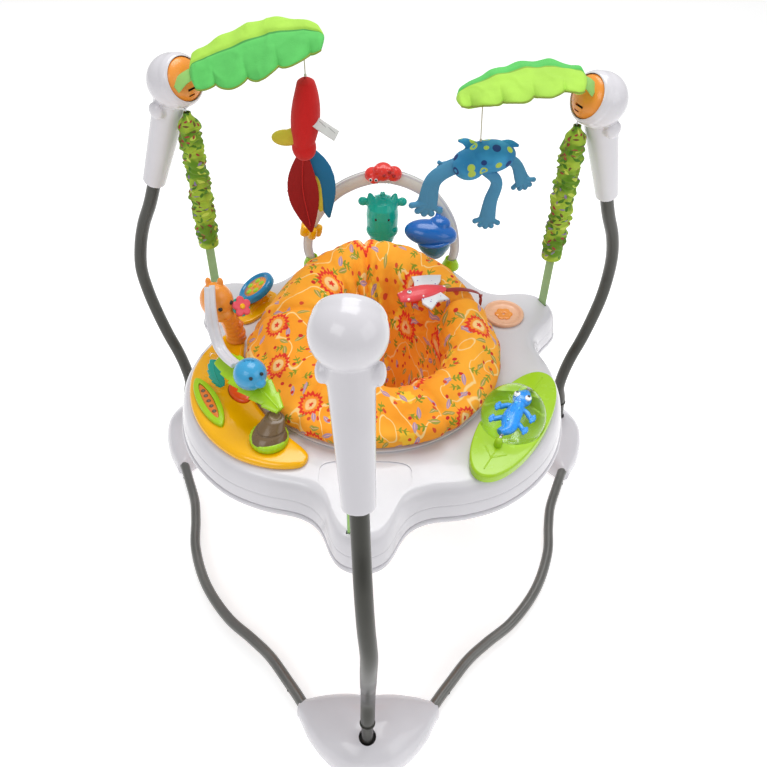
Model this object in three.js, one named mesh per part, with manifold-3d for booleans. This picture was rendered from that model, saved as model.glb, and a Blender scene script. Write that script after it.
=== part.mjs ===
// Baby activity jumper: a three-post frame that carries a toy tray and a padded swivel seat on springs.
// Millimetres, +Z up, the floor at z = 0. Everything is laid out about the seat's upright axis and
// then moved so that the origin is under the middle of the whole part.
// The front post stands at -Y; the rear posts are 120 degrees either side of it.
import * as THREE from 'three';
import { mergeVertices } from 'three/addons/utils/BufferGeometryUtils.js';
import Module from 'manifold-3d';

const wasm = await Module();
wasm.setup();

// ---- driving dimensions ----
const GAP = 0.3;
const POSTS = [
  { name: 'front', azimuth: -90 },
  { name: 'left', azimuth: 150 },
  { name: 'right', azimuth: 30 },
];
const UPRIGHT_RADIUS = 11;
const UPRIGHT_END_RADIUS = 9;
const UPRIGHT_LINE = [
  [455, 19], [457, 50], [457, 80], [449, 122], [440, 156], [444, 197], [455, 235],
  [470, 270], [486, 320], [497, 370], [500, 420], [492, 470], [475, 520], [450, 570], [430, 617], [409, 668],
];
const UPRIGHT_TWIST = [[100, 0], [420, 0.3], [617, -1.3], [800, -3.4]];
const BASE_TUBE_RADIUS = 9.2;
const BASE_TUBE_HEIGHT = 25;
const BASE_TUBE_LINE = [[12.6, 424], [14.4, 411], [17, 396], [21, 378], [28.5, 354], [36, 346], [46, 347.5]];
const BALL_CENTRE = [356.5, 800];
const BALL_RADIUS = 41;
const SLEEVE_BOTTOM = [430.5, 618.7];
const SLEEVE_TOP_RADIUS = 27;
const SLEEVE_BOTTOM_RADIUS = 18.5;
const FACE_RADIUS = 31;
const HANGER_RADIUS = 333;
const COVER_TOP = 748;
const COVER_BOTTOM = 528;
const SPRING_TOP = 788;
const SPRING_COIL_TOP = 738;
const SPRING_COIL_BOTTOM = 612;
const SPRING_BOTTOM = 590;
const STRAP_TOP = 588;
const STRAP_BOTTOM = 402;
const TRAY_TWIST = -2;
const TRAY_TOP = 430;
const TRAY_RIM = 374;
const TRAY_WALL = 3.5;
const TRAY_HOLE_RADIUS = 186;
// Tray outline over one lobe: degrees away from the lobe's middle, and the rim radius there.
const TRAY_OUTLINE = [
  [0, 356], [3, 353.5], [5.5, 345], [7.5, 331], [10, 309], [12.5, 295], [16, 286.5],
  [21, 285.5], [30, 297.5], [42, 311], [60, 318],
];
// Middle of the whole part, seen from the seat's axis.
const PART_MIDDLE = [-0.251, -76.816];
const SEAT_RADIUS = 200;
const SEAT_RING_RADIUS = 183;
const STATION_TOP = 442;

const COLOURS = {
  white: ['#f3f2f6', 0.22, 0],
  post: ['#55554c', 0.38, 0.75],
  base: ['#85857f', 0.36, 0.75],
  steel: ['#b9bcc0', 0.3, 0.9],
  orange: ['#f58a1f', 0.35, 0],
  yellow: ['#ffc400', 0.3, 0],
  lime: ['#a6d616', 0.4, 0],
  leafLime: ['#a4dc3c', 0.85, 0],
  leafMint: ['#7be07b', 0.85, 0],
  strap: ['#9ad26a', 0.85, 0],
  cover: ['#8fc31f', 0.85, 0],
  brown: ['#7a6242', 0.45, 0],
  teal: ['#12a391', 0.35, 0],
  blue: ['#1b74c4', 0.32, 0],
  skyBlue: ['#3fa3df', 0.35, 0],
  red: ['#e8352e', 0.4, 0],
  redOrange: ['#f4511e', 0.35, 0],
  pink: ['#ee4a5e', 0.45, 0],
  peach: ['#f6b183', 0.4, 0],
  padding: ['#f9a12e', 0.85, 0],
  plushBlue: ['#2f93c8', 0.9, 0],
  plushRed: ['#d8201c', 0.9, 0],
  cord: ['#efe6cc', 0.8, 0],
  darkRed: ['#a3231c', 0.8, 0],
  clear: ['#e8f4fa', 0.05, 0],
};

// ---- small maths ----
function radians(degrees) {
  return degrees * Math.PI / 180;
}

function vec(x, y, z) {
  return new THREE.Vector3(x, y, z);
}

function polar(radius, azimuth, z) {
  return vec(radius * Math.cos(radians(azimuth)), radius * Math.sin(radians(azimuth)), z);
}

function lookUp(table, x) {
  if (x <= table[0][0]) {
    return table[0][1];
  }
  for (let k = 1; k < table.length; k += 1) {
    if (x <= table[k][0]) {
      const share = (x - table[k - 1][0]) / (table[k][0] - table[k - 1][0]);
      return table[k - 1][1] + share * (table[k][1] - table[k - 1][1]);
    }
  }
  return table[table.length - 1][1];
}

function postPoint(post, radius, z) {
  return polar(radius, post.azimuth + lookUp(UPRIGHT_TWIST, z), z);
}

// ---- solids ----
function clean(geometry) {
  let bare = geometry.index ? geometry.toNonIndexed() : geometry.clone();
  bare.deleteAttribute('normal');
  bare.deleteAttribute('uv');
  bare = mergeVertices(bare, 1e-3);
  const kept = [];
  for (let k = 0; k < bare.index.count; k += 3) {
    const [a, b, c] = [bare.index.getX(k), bare.index.getX(k + 1), bare.index.getX(k + 2)];
    if (a !== b && b !== c && c !== a) {
      kept.push(a, b, c);
    }
  }
  bare.setIndex(kept);
  if (signedVolume(bare) < 0) {
    for (let k = 0; k < kept.length; k += 3) {
      [kept[k + 1], kept[k + 2]] = [kept[k + 2], kept[k + 1]];
    }
    bare.setIndex(kept);
  }
  bare.computeVertexNormals();
  return bare;
}

function signedVolume(geometry) {
  const place = geometry.attributes.position;
  const corners = [vec(0, 0, 0), vec(0, 0, 0), vec(0, 0, 0)];
  let total = 0;
  for (let k = 0; k < geometry.index.count; k += 3) {
    corners.forEach((corner, n) => corner.fromBufferAttribute(place, geometry.index.getX(k + n)));
    total += corners[0].dot(corners[1].clone().cross(corners[2]));
  }
  return total / 6;
}

function toManifold(geometry) {
  const bare = clean(geometry);
  return new wasm.Manifold(new wasm.Mesh({
    numProp: 3,
    vertProperties: new Float32Array(bare.attributes.position.array),
    triVerts: new Uint32Array(bare.index.array),
  }));
}

function fromManifold(solid) {
  const mesh = solid.getMesh();
  const geometry = new THREE.BufferGeometry();
  geometry.setAttribute('position', new THREE.BufferAttribute(new Float32Array(mesh.vertProperties), 3));
  geometry.setIndex(Array.from(mesh.triVerts));
  return clean(geometry);
}

function join(...geometries) {
  return fromManifold(geometries.map(toManifold).reduce((sum, item) => sum.add(item)));
}

function cut(geometry, ...tools) {
  return fromManifold(tools.map(toManifold).reduce((rest, tool) => rest.subtract(tool), toManifold(geometry)));
}

function build(positions, index) {
  const geometry = new THREE.BufferGeometry();
  geometry.setAttribute('position', new THREE.Float32BufferAttribute(positions, 3));
  geometry.setIndex(index);
  return clean(geometry);
}

function pushPoints(positions, ring) {
  ring.forEach((point) => positions.push(point.x, point.y, point.z));
}

function stitch(index, first, second, count) {
  for (let i = 0; i < count; i += 1) {
    const j = (i + 1) % count;
    index.push(first + i, first + j, second + j, first + i, second + j, second + i);
  }
}

// Skin over a row of rings, closed at both ends with a fan to the ring's middle.
function loft(rings) {
  const count = rings[0].length;
  const positions = [];
  const index = [];
  rings.forEach((ring) => pushPoints(positions, ring));
  for (let k = 0; k + 1 < rings.length; k += 1) {
    stitch(index, k * count, (k + 1) * count, count);
  }
  [rings[0], rings[rings.length - 1]].forEach((ring, end) => {
    const middle = ring.reduce((sum, point) => sum.add(point), vec(0, 0, 0)).divideScalar(count);
    const hub = positions.length / 3;
    positions.push(middle.x, middle.y, middle.z);
    const start = end * (rings.length - 1) * count;
    for (let i = 0; i < count; i += 1) {
      const j = (i + 1) % count;
      index.push(hub, start + (end ? i : j), start + (end ? j : i));
    }
  });
  return build(positions, index);
}

// Skin over rings that run all the way round and meet again.
function hoop(rings) {
  const count = rings[0].length;
  const positions = [];
  const index = [];
  rings.forEach((ring) => pushPoints(positions, ring));
  rings.forEach((ring, k) => stitch(index, k * count, ((k + 1) % rings.length) * count, count));
  return build(positions, index);
}

// A hoop about the vertical axis: section(azimuth) gives [radius, z] pairs.
function turned(section, azimuths) {
  return hoop(azimuths.map((azimuth) => section(azimuth).map(([radius, z]) => polar(radius, azimuth, z))));
}

function evenAzimuths(count) {
  return Array.from({ length: count }, (unused, k) => k * 360 / count);
}

// Bar along a smooth line. radius(share) gives one radius, or [across, along up] for a flattened bar.
function bar(points, radius, options = {}) {
  const { sides = 12, segments = 12, up = null } = options;
  const line = new THREE.CatmullRomCurve3(points, false, 'centripetal');
  const frames = line.computeFrenetFrames(segments, false);
  const rings = [];
  for (let k = 0; k <= segments; k += 1) {
    const share = k / segments;
    const tangent = line.getTangentAt(share);
    const normal = up ? up.clone().addScaledVector(tangent, -up.dot(tangent)).normalize() : frames.normals[k];
    const side = normal.clone().cross(tangent);
    const size = typeof radius === 'function' ? radius(share) : radius;
    const [across, along] = Array.isArray(size) ? size : [size, size];
    const ring = [];
    for (let i = 0; i < sides; i += 1) {
      const turn = i * 2 * Math.PI / sides;
      ring.push(line.getPointAt(share).addScaledVector(side, across * Math.cos(turn))
        .addScaledVector(normal, along * Math.sin(turn)));
    }
    rings.push(ring);
  }
  return loft(rings);
}

function rod(from, to, radius, sides = 16) {
  const direction = to.clone().sub(from);
  const geometry = new THREE.CylinderGeometry(radius, radius, direction.length(), sides, 1);
  geometry.applyQuaternion(new THREE.Quaternion().setFromUnitVectors(vec(0, 1, 0), direction.clone().normalize()));
  geometry.translate((from.x + to.x) / 2, (from.y + to.y) / 2, (from.z + to.z) / 2);
  return geometry;
}

function blob(centre, radii, options = {}) {
  const { sides = 16, stacks = 10, turn = null } = options;
  const geometry = new THREE.SphereGeometry(1, sides, stacks);
  geometry.rotateX(Math.PI / 2);
  geometry.scale(radii[0], radii[1], radii[2]);
  if (turn) {
    geometry.applyQuaternion(new THREE.Quaternion().setFromEuler(new THREE.Euler(...turn.map(radians), 'XYZ')));
  }
  geometry.translate(centre.x, centre.y, centre.z);
  return geometry;
}

// Round solid about an axis through origin: profile gives [distance along the axis, radius] pairs.
function spun(origin, direction, profile, sides = 20) {
  const points = profile.map(([along, radius]) => new THREE.Vector2(Math.max(radius, 0), along));
  const geometry = new THREE.LatheGeometry(points, sides);
  geometry.applyQuaternion(new THREE.Quaternion().setFromUnitVectors(vec(0, 1, 0), direction.clone().normalize()));
  geometry.translate(origin.x, origin.y, origin.z);
  return geometry;
}

// Flat-bottomed plate from a plan outline, with a rounded upper edge.
function plate(outline, bottom, top, round) {
  const shape = new THREE.Shape(outline.map(([x, y]) => new THREE.Vector2(x, y)));
  const geometry = new THREE.ExtrudeGeometry(shape, {
    depth: top - bottom - 2 * round,
    bevelEnabled: round > 0,
    bevelThickness: round,
    bevelSize: round,
    bevelOffset: -round,
    bevelSegments: 1,
    curveSegments: 8,
  });
  geometry.translate(0, 0, bottom + round);
  return geometry;
}

const jumper = new THREE.Group();
jumper.name = 'activity_jumper';

function add(name, geometry, colour) {
  const [hex, roughness, metalness] = COLOURS[colour];
  const material = new THREE.MeshStandardMaterial({ color: hex, roughness, metalness });
  if (colour === 'clear') {
    material.transparent = true;
    material.opacity = 0.3;
  }
  const placed = clean(geometry);
  placed.translate(-PART_MIDDLE[0], -PART_MIDDLE[1], 0);
  const mesh = new THREE.Mesh(placed, material);
  mesh.name = name;
  jumper.add(mesh);
}

// ---- frame ----
function uprightPoints(post, extraTop) {
  const points = UPRIGHT_LINE.map(([radius, z]) => postPoint(post, radius, z));
  if (extraTop > 0) {
    const last = points[points.length - 1];
    const before = points[points.length - 2];
    points.push(last.clone().addScaledVector(last.clone().sub(before).normalize(), extraTop));
  }
  return points;
}

function upright(post) {
  const swage = (share) => UPRIGHT_END_RADIUS
    + (UPRIGHT_RADIUS - UPRIGHT_END_RADIUS) * THREE.MathUtils.smoothstep(share, 0.11, 0.15);
  return bar(uprightPoints(post, 0), swage, { sides: 12, segments: 18 });
}

// Half of a base tube line runs from one foot to the middle; the other half mirrors it.
function baseTubePoints(startAzimuth, extra) {
  const first = BASE_TUBE_LINE.map(([offset, radius]) => polar(radius, startAzimuth - offset, BASE_TUBE_HEIGHT));
  const second = BASE_TUBE_LINE.map(([offset, radius]) => (
    polar(radius, startAzimuth - 120 + offset, BASE_TUBE_HEIGHT))).reverse();
  const middle = [polar(348, startAzimuth - 60, BASE_TUBE_HEIGHT)];
  const points = [...first, ...middle, ...second];
  if (extra > 0) {
    const head = points[0].clone().sub(points[1]).normalize().multiplyScalar(extra).add(points[0]);
    const tail = points[points.length - 1].clone().sub(points[points.length - 2]).normalize()
      .multiplyScalar(extra).add(points[points.length - 1]);
    return [head, ...points, tail];
  }
  return points;
}

const BASE_TUBES = [
  { name: 'base_tube_front_left', startAzimuth: -90 },
  { name: 'base_tube_front_right', startAzimuth: 30 },
  { name: 'base_tube_rear', startAzimuth: 150 },
];

const FOOT_HALF_ANGLE = 16;
const FOOT_OUTER = [[0, 500], [4, 496], [8, 478], [12, 452], [16, 424]];
const FOOT_INNER = [[0, 378], [4, 376], [8, 378], [12, 385], [16, 396]];
const FOOT_HEIGHT = [[0, 66], [5, 62], [10, 50], [16, 36]];

function foot(post) {
  const rings = [];
  const steps = 10;
  for (let k = 0; k <= steps; k += 1) {
    const offset = -FOOT_HALF_ANGLE + 2 * FOOT_HALF_ANGLE * k / steps;
    const end = Math.abs(offset) / FOOT_HALF_ANGLE;
    const closing = end > 0.99 ? 0.72 : 1;
    const outer = lookUp(FOOT_OUTER, Math.abs(offset));
    const inner = lookUp(FOOT_INNER, Math.abs(offset));
    const height = lookUp(FOOT_HEIGHT, Math.abs(offset)) * (closing < 1 ? 0.9 : 1);
    const middle = (outer + inner) / 2;
    const half = (outer - inner) / 2 * closing;
    const section = [
      [half - 3, 0], [half, 4], [half, 0.45 * height], [0.86 * half, 0.76 * height], [0.5 * half, 0.95 * height],
      [0, height], [-0.5 * half, 0.95 * height], [-0.86 * half, 0.76 * height], [-half, 0.45 * height],
      [-half, 4], [3 - half, 0],
    ];
    rings.push(section.map(([shift, z]) => polar(middle + shift, post.azimuth + offset, z)));
  }
  const bores = BASE_TUBES.map((tube) => (
    bar(baseTubePoints(tube.startAzimuth, GAP), BASE_TUBE_RADIUS + GAP, { sides: 10, segments: 20 })));
  const socketBottom = postPoint(post, UPRIGHT_LINE[0][0], UPRIGHT_LINE[0][1] - GAP);
  const socket = rod(socketBottom, postPoint(post, UPRIGHT_LINE[1][0] + 1, 90), 13.5, 14);
  return cut(loft(rings), socket, ...bores);
}

POSTS.forEach((post) => add(`foot_${post.name}`, foot(post), 'white'));
BASE_TUBES.forEach((tube) => {
  add(tube.name, bar(baseTubePoints(tube.startAzimuth, 0), BASE_TUBE_RADIUS, { sides: 10, segments: 20 }), 'base');
});
POSTS.forEach((post) => add(`upright_${post.name}`, upright(post), 'post'));

// ---- post heads ----
function inwardFrom(post, tilt) {
  const facing = post.azimuth + lookUp(UPRIGHT_TWIST, BALL_CENTRE[1]) + 180;
  return polar(Math.cos(radians(tilt)), facing, Math.sin(radians(tilt)));
}

const FACE_TILT = 22;

function postHousing(post) {
  const centre = postPoint(post, BALL_CENTRE[0], BALL_CENTRE[1]);
  const inward = inwardFrom(post, FACE_TILT);
  const sleeveTop = centre.clone();
  const sleeveEnd = postPoint(post, SLEEVE_BOTTOM[0], SLEEVE_BOTTOM[1]);
  const taper = (share) => SLEEVE_TOP_RADIUS + (SLEEVE_BOTTOM_RADIUS - SLEEVE_TOP_RADIUS) * share;
  const sleeve = bar([sleeveTop, sleeveEnd], taper, { sides: 12, segments: 1 });
  const ball = blob(centre, [BALL_RADIUS, BALL_RADIUS, BALL_RADIUS - 2], { sides: 16, stacks: 9 });
  const rim = spun(centre, inward, [[2, 0], [2, 36], [10, 38.5], [18, 37.5], [24, 34.5], [24, 0]], 18);
  const sideways = vec(0, 0, 1).cross(inward).normalize();
  const downSleeve = sleeveEnd.clone().sub(centre).normalize();
  const ears = [-1, 1].map((sign) => {
    const seat = centre.clone().addScaledVector(downSleeve, 44).addScaledVector(sideways, sign * 22);
    return blob(seat, [11, 11, 9], { sides: 8, stacks: 5 });
  });
  const pocket = rod(centre.clone().addScaledVector(inward, 10), centre.clone().addScaledVector(inward, 60),
    FACE_RADIUS + 1, 18);
  const bore = bar(uprightPoints(post, 1), UPRIGHT_RADIUS + GAP, { sides: 12, segments: 18 });
  const hanger = polar(HANGER_RADIUS, post.azimuth + TRAY_TWIST, 0);
  const hookHole = rod(vec(hanger.x, hanger.y, 700), vec(hanger.x, hanger.y, SPRING_TOP + 2), 4, 8);
  return cut(join(ball, sleeve, rim, ...ears), pocket, bore, hookHole);
}

function postFace(post) {
  const centre = postPoint(post, BALL_CENTRE[0], BALL_CENTRE[1]);
  const inward = inwardFrom(post, FACE_TILT);
  const hanger = polar(HANGER_RADIUS, post.azimuth + TRAY_TWIST, 0);
  const hookHole = rod(vec(hanger.x, hanger.y, 700), vec(hanger.x, hanger.y, SPRING_TOP + 2), 4, 8);
  const dome = spun(centre, inward, [
    [10 + GAP, 0], [10 + GAP, FACE_RADIUS], [22, FACE_RADIUS], [27, 27], [31, 19], [33.6, 0],
  ], 18);
  return cut(dome, hookHole);
}

POSTS.forEach((post) => add(`post_housing_${post.name}`, postHousing(post), 'white'));
POSTS.forEach((post) => add(`post_face_${post.name}`, postFace(post), 'orange'));

// ---- hanging springs, their gathered covers and the webbing straps ----
function springPoints(x, y) {
  const coilRadius = 9;
  const turns = 6;
  const stepsPerTurn = 7;
  const points = [vec(x, y, SPRING_TOP), vec(x, y, SPRING_COIL_TOP + 14)];
  for (let k = 0; k <= turns * stepsPerTurn; k += 1) {
    const turn = k * 2 * Math.PI / stepsPerTurn;
    const z = SPRING_COIL_TOP + (SPRING_COIL_BOTTOM - SPRING_COIL_TOP) * k / (turns * stepsPerTurn);
    points.push(vec(x + coilRadius * Math.cos(turn), y + coilRadius * Math.sin(turn), z));
  }
  points.push(vec(x, y, SPRING_COIL_BOTTOM - 12), vec(x, y, SPRING_BOTTOM));
  return points;
}

function spring(post) {
  const foot3 = polar(HANGER_RADIUS, post.azimuth + TRAY_TWIST, 0);
  return bar(springPoints(foot3.x, foot3.y), 1.3, { sides: 4, segments: 46 });
}

// The cover is a fabric sleeve: lumpy outside where it is gathered, plain inside.
function springCover(post) {
  const hanger = polar(HANGER_RADIUS, post.azimuth + TRAY_TWIST, 0);
  const levels = 10;
  const inner = 13.2;
  const profile = [];
  for (let k = 0; k <= levels; k += 1) {
    const share = k / levels;
    const bulge = k % 2 === 0 ? 1.6 : -1.6;
    const neck = Math.min(1, 6 * share, 8 * (1 - share));
    profile.push([14.8 + (3.7 + bulge) * neck, COVER_TOP + (COVER_BOTTOM - COVER_TOP) * share]);
  }
  profile.push([inner, COVER_BOTTOM], [inner, COVER_TOP]);
  const rings = evenAzimuths(9).map((azimuth) => profile.map(([radius, z]) => (
    polar(radius, azimuth, z).add(vec(hanger.x, hanger.y, 0)))));
  return hoop(rings);
}

function strapBox(post, grow, bottom, top) {
  const azimuth = post.azimuth + TRAY_TWIST;
  const geometry = new THREE.BoxGeometry(1.8 + 2 * grow, 20 + 2 * grow, top - bottom);
  geometry.rotateZ(radians(azimuth));
  const place = polar(HANGER_RADIUS, azimuth, (top + bottom) / 2);
  geometry.translate(place.x, place.y, place.z);
  return geometry;
}

POSTS.forEach((post) => add(`spring_${post.name}`, spring(post), 'steel'));
POSTS.forEach((post) => add(`spring_cover_${post.name}`, springCover(post), 'cover'));
POSTS.forEach((post) => add(`strap_${post.name}`, strapBox(post, 0, STRAP_BOTTOM, STRAP_TOP), 'strap'));

// ---- tray ----
function rimRadius(azimuth) {
  const fromLobe = Math.abs(((azimuth - TRAY_TWIST + 90) % 120 + 180) % 120 - 60);
  return lookUp(TRAY_OUTLINE, fromLobe);
}

function lobeOffsetAzimuths() {
  const offsets = TRAY_OUTLINE.map(([offset]) => offset);
  const halves = [...offsets.slice(1, -1).reverse().map((offset) => -offset), ...offsets];
  return [0, 120, 240].flatMap((lobe) => halves.map((offset) => -90 + TRAY_TWIST + lobe + offset));
}

// Clear ball with a small lizard, half sunk in the leaf-shaped cradle.
const BUBBLE = vec(208, -140, 454);
const BUBBLE_RADIUS = 48;
const BUBBLE_AXLE = vec(0.47, 0.88, 0).normalize();

const AZIMUTHS = lobeOffsetAzimuths();

function trayTop() {
  const shell = turned((azimuth) => {
    const rim = rimRadius(azimuth);
    return [
      [TRAY_HOLE_RADIUS, TRAY_TOP - 24], [TRAY_HOLE_RADIUS, TRAY_TOP], [rim - 24, TRAY_TOP],
      [rim - 14, TRAY_TOP - 4], [rim - 8, TRAY_TOP - 14], [rim, TRAY_RIM],
      [rim - TRAY_WALL - 1, TRAY_RIM], [rim - 12, TRAY_TOP - 16],
      [rim - 25, TRAY_TOP - TRAY_WALL], [TRAY_HOLE_RADIUS + TRAY_WALL, TRAY_TOP - TRAY_WALL],
      [TRAY_HOLE_RADIUS + TRAY_WALL, TRAY_TOP - 24],
    ];
  }, AZIMUTHS);
  const slots = POSTS.map((post) => strapBox(post, 1.2, TRAY_TOP - 20, TRAY_TOP + 10));
  const outline = [];
  for (let k = 0; k < 20; k += 1) {
    const turn = k * 2 * Math.PI / 20;
    const square = (value) => Math.sign(value) * Math.abs(value) ** 0.5;
    outline.push([-8 + 66 * square(Math.cos(turn)), -238 + 27 * square(Math.sin(turn))]);
  }
  const recess = plate(outline, TRAY_TOP - 1.6, TRAY_TOP + 6, 0);
  const ballWell = blob(BUBBLE, [BUBBLE_RADIUS + 3, BUBBLE_RADIUS + 3, BUBBLE_RADIUS + 3], { sides: 14, stacks: 9 });
  return cut(shell, ...slots, recess, ballWell);
}

function trayBase() {
  return turned((azimuth) => {
    const rim = rimRadius(azimuth);
    return [
      [TRAY_HOLE_RADIUS + 8, TRAY_RIM - 10], [rim, TRAY_RIM - 10], [rim + 2.5, TRAY_RIM - 5],
      [rim, TRAY_RIM - GAP], [rim - 9, TRAY_RIM - GAP],
      [TRAY_HOLE_RADIUS + 12, TRAY_RIM - 6], [TRAY_HOLE_RADIUS + 12, TRAY_TOP - 30],
      [TRAY_HOLE_RADIUS + 8, TRAY_TOP - 30],
    ];
  }, AZIMUTHS);
}

add('tray_top', trayTop(), 'white');
add('tray_base', trayBase(), 'white');

// ---- left play station: yellow panel, window, button, stump, long-necked animal, bar, leaf and bird ----
function sectorPlate(fromAzimuth, toAzimuth, inner, outerAt, bottom, top, blunt) {
  const rings = [];
  const steps = 12;
  for (let k = 0; k <= steps; k += 1) {
    const along = -Math.cos(Math.PI * k / steps);
    const azimuth = (fromAzimuth + toAzimuth) / 2 + (toAzimuth - fromAzimuth) / 2 * along;
    const closing = Math.max(0.06, (1 - Math.abs(along) ** blunt) ** (1 / blunt));
    const middle = (inner + outerAt(azimuth)) / 2;
    const half = (outerAt(azimuth) - inner) / 2 * closing;
    const lift = (top - bottom) * Math.max(0.35, closing ** 0.3);
    const edge = Math.min(5, half * 0.4);
    const section = [
      [-half, bottom], [half, bottom], [half, bottom + 0.55 * lift], [half - 0.3 * edge, bottom + 0.85 * lift],
      [half - edge, bottom + lift], [edge - half, bottom + lift], [0.3 * edge - half, bottom + 0.85 * lift],
      [-half, bottom + 0.55 * lift],
    ];
    rings.push(section.map(([shift, z]) => polar(middle + shift, azimuth, z)));
  }
  return loft(rings);
}

function lensOutline(centre, direction, length, width, blunt) {
  const outline = [];
  for (let k = 0; k < 18; k += 1) {
    const turn = k * 2 * Math.PI / 18;
    const along = Math.cos(turn) * length / 2;
    const across = Math.sign(Math.sin(turn)) * Math.abs(Math.sin(turn)) ** blunt * width / 2;
    outline.push([
      centre[0] + along * direction[0] - across * direction[1],
      centre[1] + along * direction[1] + across * direction[0],
    ]);
  }
  return outline;
}

const panelBottom = TRAY_TOP + GAP;
add('yellow_panel', cut(
  sectorPlate(-113, -194, 206, (azimuth) => rimRadius(azimuth) - 20, panelBottom, STATION_TOP, 3),
  plate(lensOutline([-204, -90], [0.57, -0.82], 52, 31, 1), TRAY_TOP + 3, STATION_TOP + 9, 0),
), 'yellow');
add('panel_window', plate(
  lensOutline([-247, -113], [0.49, -0.87], 112, 32, 1.3), STATION_TOP + GAP, STATION_TOP + 7, 2.4), 'lime');
add('panel_button', plate(
  lensOutline([-204, -90], [0.57, -0.82], 50, 29, 1), TRAY_TOP + 7, STATION_TOP + 5, 2.4), 'redOrange');

const STUMP = vec(-148, -184, STATION_TOP + GAP);
function stump() {
  const grass = spun(STUMP, vec(0, 0, 1), [[0, 0], [0, 28], [9, 29], [12, 26], [12, 0]], 18);
  const trunk = bar([
    STUMP.clone().add(vec(0, 0, 10)), STUMP.clone().add(vec(2, 4, 20)), STUMP.clone().add(vec(8, 16, 33)),
  ], (share) => 25 - 12 * share, { sides: 10, segments: 3 });
  return join(grass, trunk);
}
add('stump', stump(), 'brown');

const NECK_FOOT = vec(-226, 34, STATION_TOP + GAP);
const HEAD = vec(-240, 4, 545);
function longNeck() {
  const neck = bar([NECK_FOOT, NECK_FOOT.clone().add(vec(0, 0, 12)), vec(-228, 30, 472), vec(-232, 18, 505), HEAD], (share) => 17 - 5 * share,
    { sides: 10, segments: 5 });
  const head = blob(HEAD, [24.5, 23.5, 33], { sides: 10, stacks: 7, turn: [10, 0, 0] });
  const snout = blob(HEAD.clone().add(vec(8, -6, -18)), [15, 16, 14], { sides: 10, stacks: 6 });
  const horns = [-9, 9].map((shift) => blob(HEAD.clone().add(vec(shift, 4, 32)), [5, 5, 9], { sides: 6, stacks: 5 }));
  return join(neck, head, snout, ...horns);
}
add('long_neck_animal', longNeck(), 'orange');

const FLOWER = vec(-203, 2, 536);
const FLOWER_AXIS = vec(0.62, -0.5, 0.6).normalize();
function petalWheel(centre, axis, petals, reach, petalRadius, thickness) {
  const side = vec(0, 0, 1).cross(axis).normalize();
  const up = axis.clone().cross(side);
  const hub = spun(centre, axis, [[-thickness, 0], [-thickness, reach], [thickness, reach], [thickness, 0]], 12);
  const lobes = Array.from({ length: petals }, (unused, k) => {
    const turn = k * 2 * Math.PI / petals;
    const place = centre.clone().addScaledVector(side, reach * Math.cos(turn)).addScaledVector(up, reach * Math.sin(turn));
    return spun(place, axis, [[-thickness, 0], [-thickness, petalRadius], [thickness, petalRadius], [thickness, 0]], 7);
  });
  return join(hub, ...lobes);
}
add('spinner_flower', petalWheel(FLOWER, FLOWER_AXIS, 5, 10, 6.5, 3), 'pink');

const LEAF_TIP = vec(-131, -166, 486);
const LEAF_BACK = vec(-230, -66, 492);
const BIRD = vec(-174, -132, 523);
add('lime_leaf', bar([LEAF_BACK, vec(-201, -96, 496), vec(-168, -128, 495), LEAF_TIP],
  (share) => [6 + 18 * Math.sin(Math.PI * Math.min(1, 0.1 + 0.88 * share)) ** 0.8, 3.2], {
    sides: 8, segments: 8, up: vec(-0.1, -0.35, 0.93),
  }), 'lime');
add('bird_head', join(
  blob(BIRD, [24, 24, 23], { sides: 14, stacks: 9 }),
  blob(BIRD.clone().add(vec(15, -14, -3)), [9, 9, 7], { sides: 7, stacks: 5 }),
), 'skyBlue');
add('arch_left', bar([
  vec(-247, -18, 590), vec(-252, -34, 562), vec(-250, -44, 530), vec(-240, -60, 511), vec(-224, -80, 508), vec(-206, -100, 511),
], (share) => 5.4 + 1.6 * (1 - Math.abs(2 * share - 1)), { sides: 10, segments: 11 }), 'white');
const PENDANT_HOOK = vec(-241, -61, 483);
add('teal_leaf', bar([
  PENDANT_HOOK.clone(), vec(-241, -70, 472), vec(-236, -80, 461), vec(-229, -88, 452),
], (share) => [2.5 + 13 * Math.sin(Math.PI * Math.min(1, 0.05 + 0.9 * share)), 2.4], {
  sides: 10, segments: 8, up: vec(-0.5, -0.8, 0.2),
}), 'teal');

// ---- roller: ring lying aslant on a post that stands on a small yellow plate ----
const ROLLER = vec(-205, 144, 460.6);
const ROLLER_AXIS = vec(-0.51, 0, 0.86).normalize();
const ROLLER_PIN = 3;
function rollerBase() {
  const floor = plate(lensOutline([-206, 126], [0.5, 0.86], 96, 46, 0.6), TRAY_TOP + GAP, TRAY_TOP + 7, 2);
  const postFoot = ROLLER.clone().addScaledVector(ROLLER_AXIS, -29);
  const post = rod(postFoot, ROLLER.clone().addScaledVector(ROLLER_AXIS, -5), 6, 12);
  const pin = rod(postFoot, ROLLER.clone().addScaledVector(ROLLER_AXIS, 7), ROLLER_PIN, 10);
  return join(floor, post, pin);
}
add('roller_base', rollerBase(), 'yellow');
add('roller_wheel', cut(
  spun(ROLLER, ROLLER_AXIS, [
    [-4, 0], [-4, 24], [-7, 26.5], [-7, 30], [-4.5, 34], [4.5, 34], [7, 30], [7, 26.5], [4, 24], [4, 0],
  ], 18),
  rod(ROLLER.clone().addScaledVector(ROLLER_AXIS, -20), ROLLER.clone().addScaledVector(ROLLER_AXIS, 20), ROLLER_PIN + GAP, 10),
), 'blue');

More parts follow.
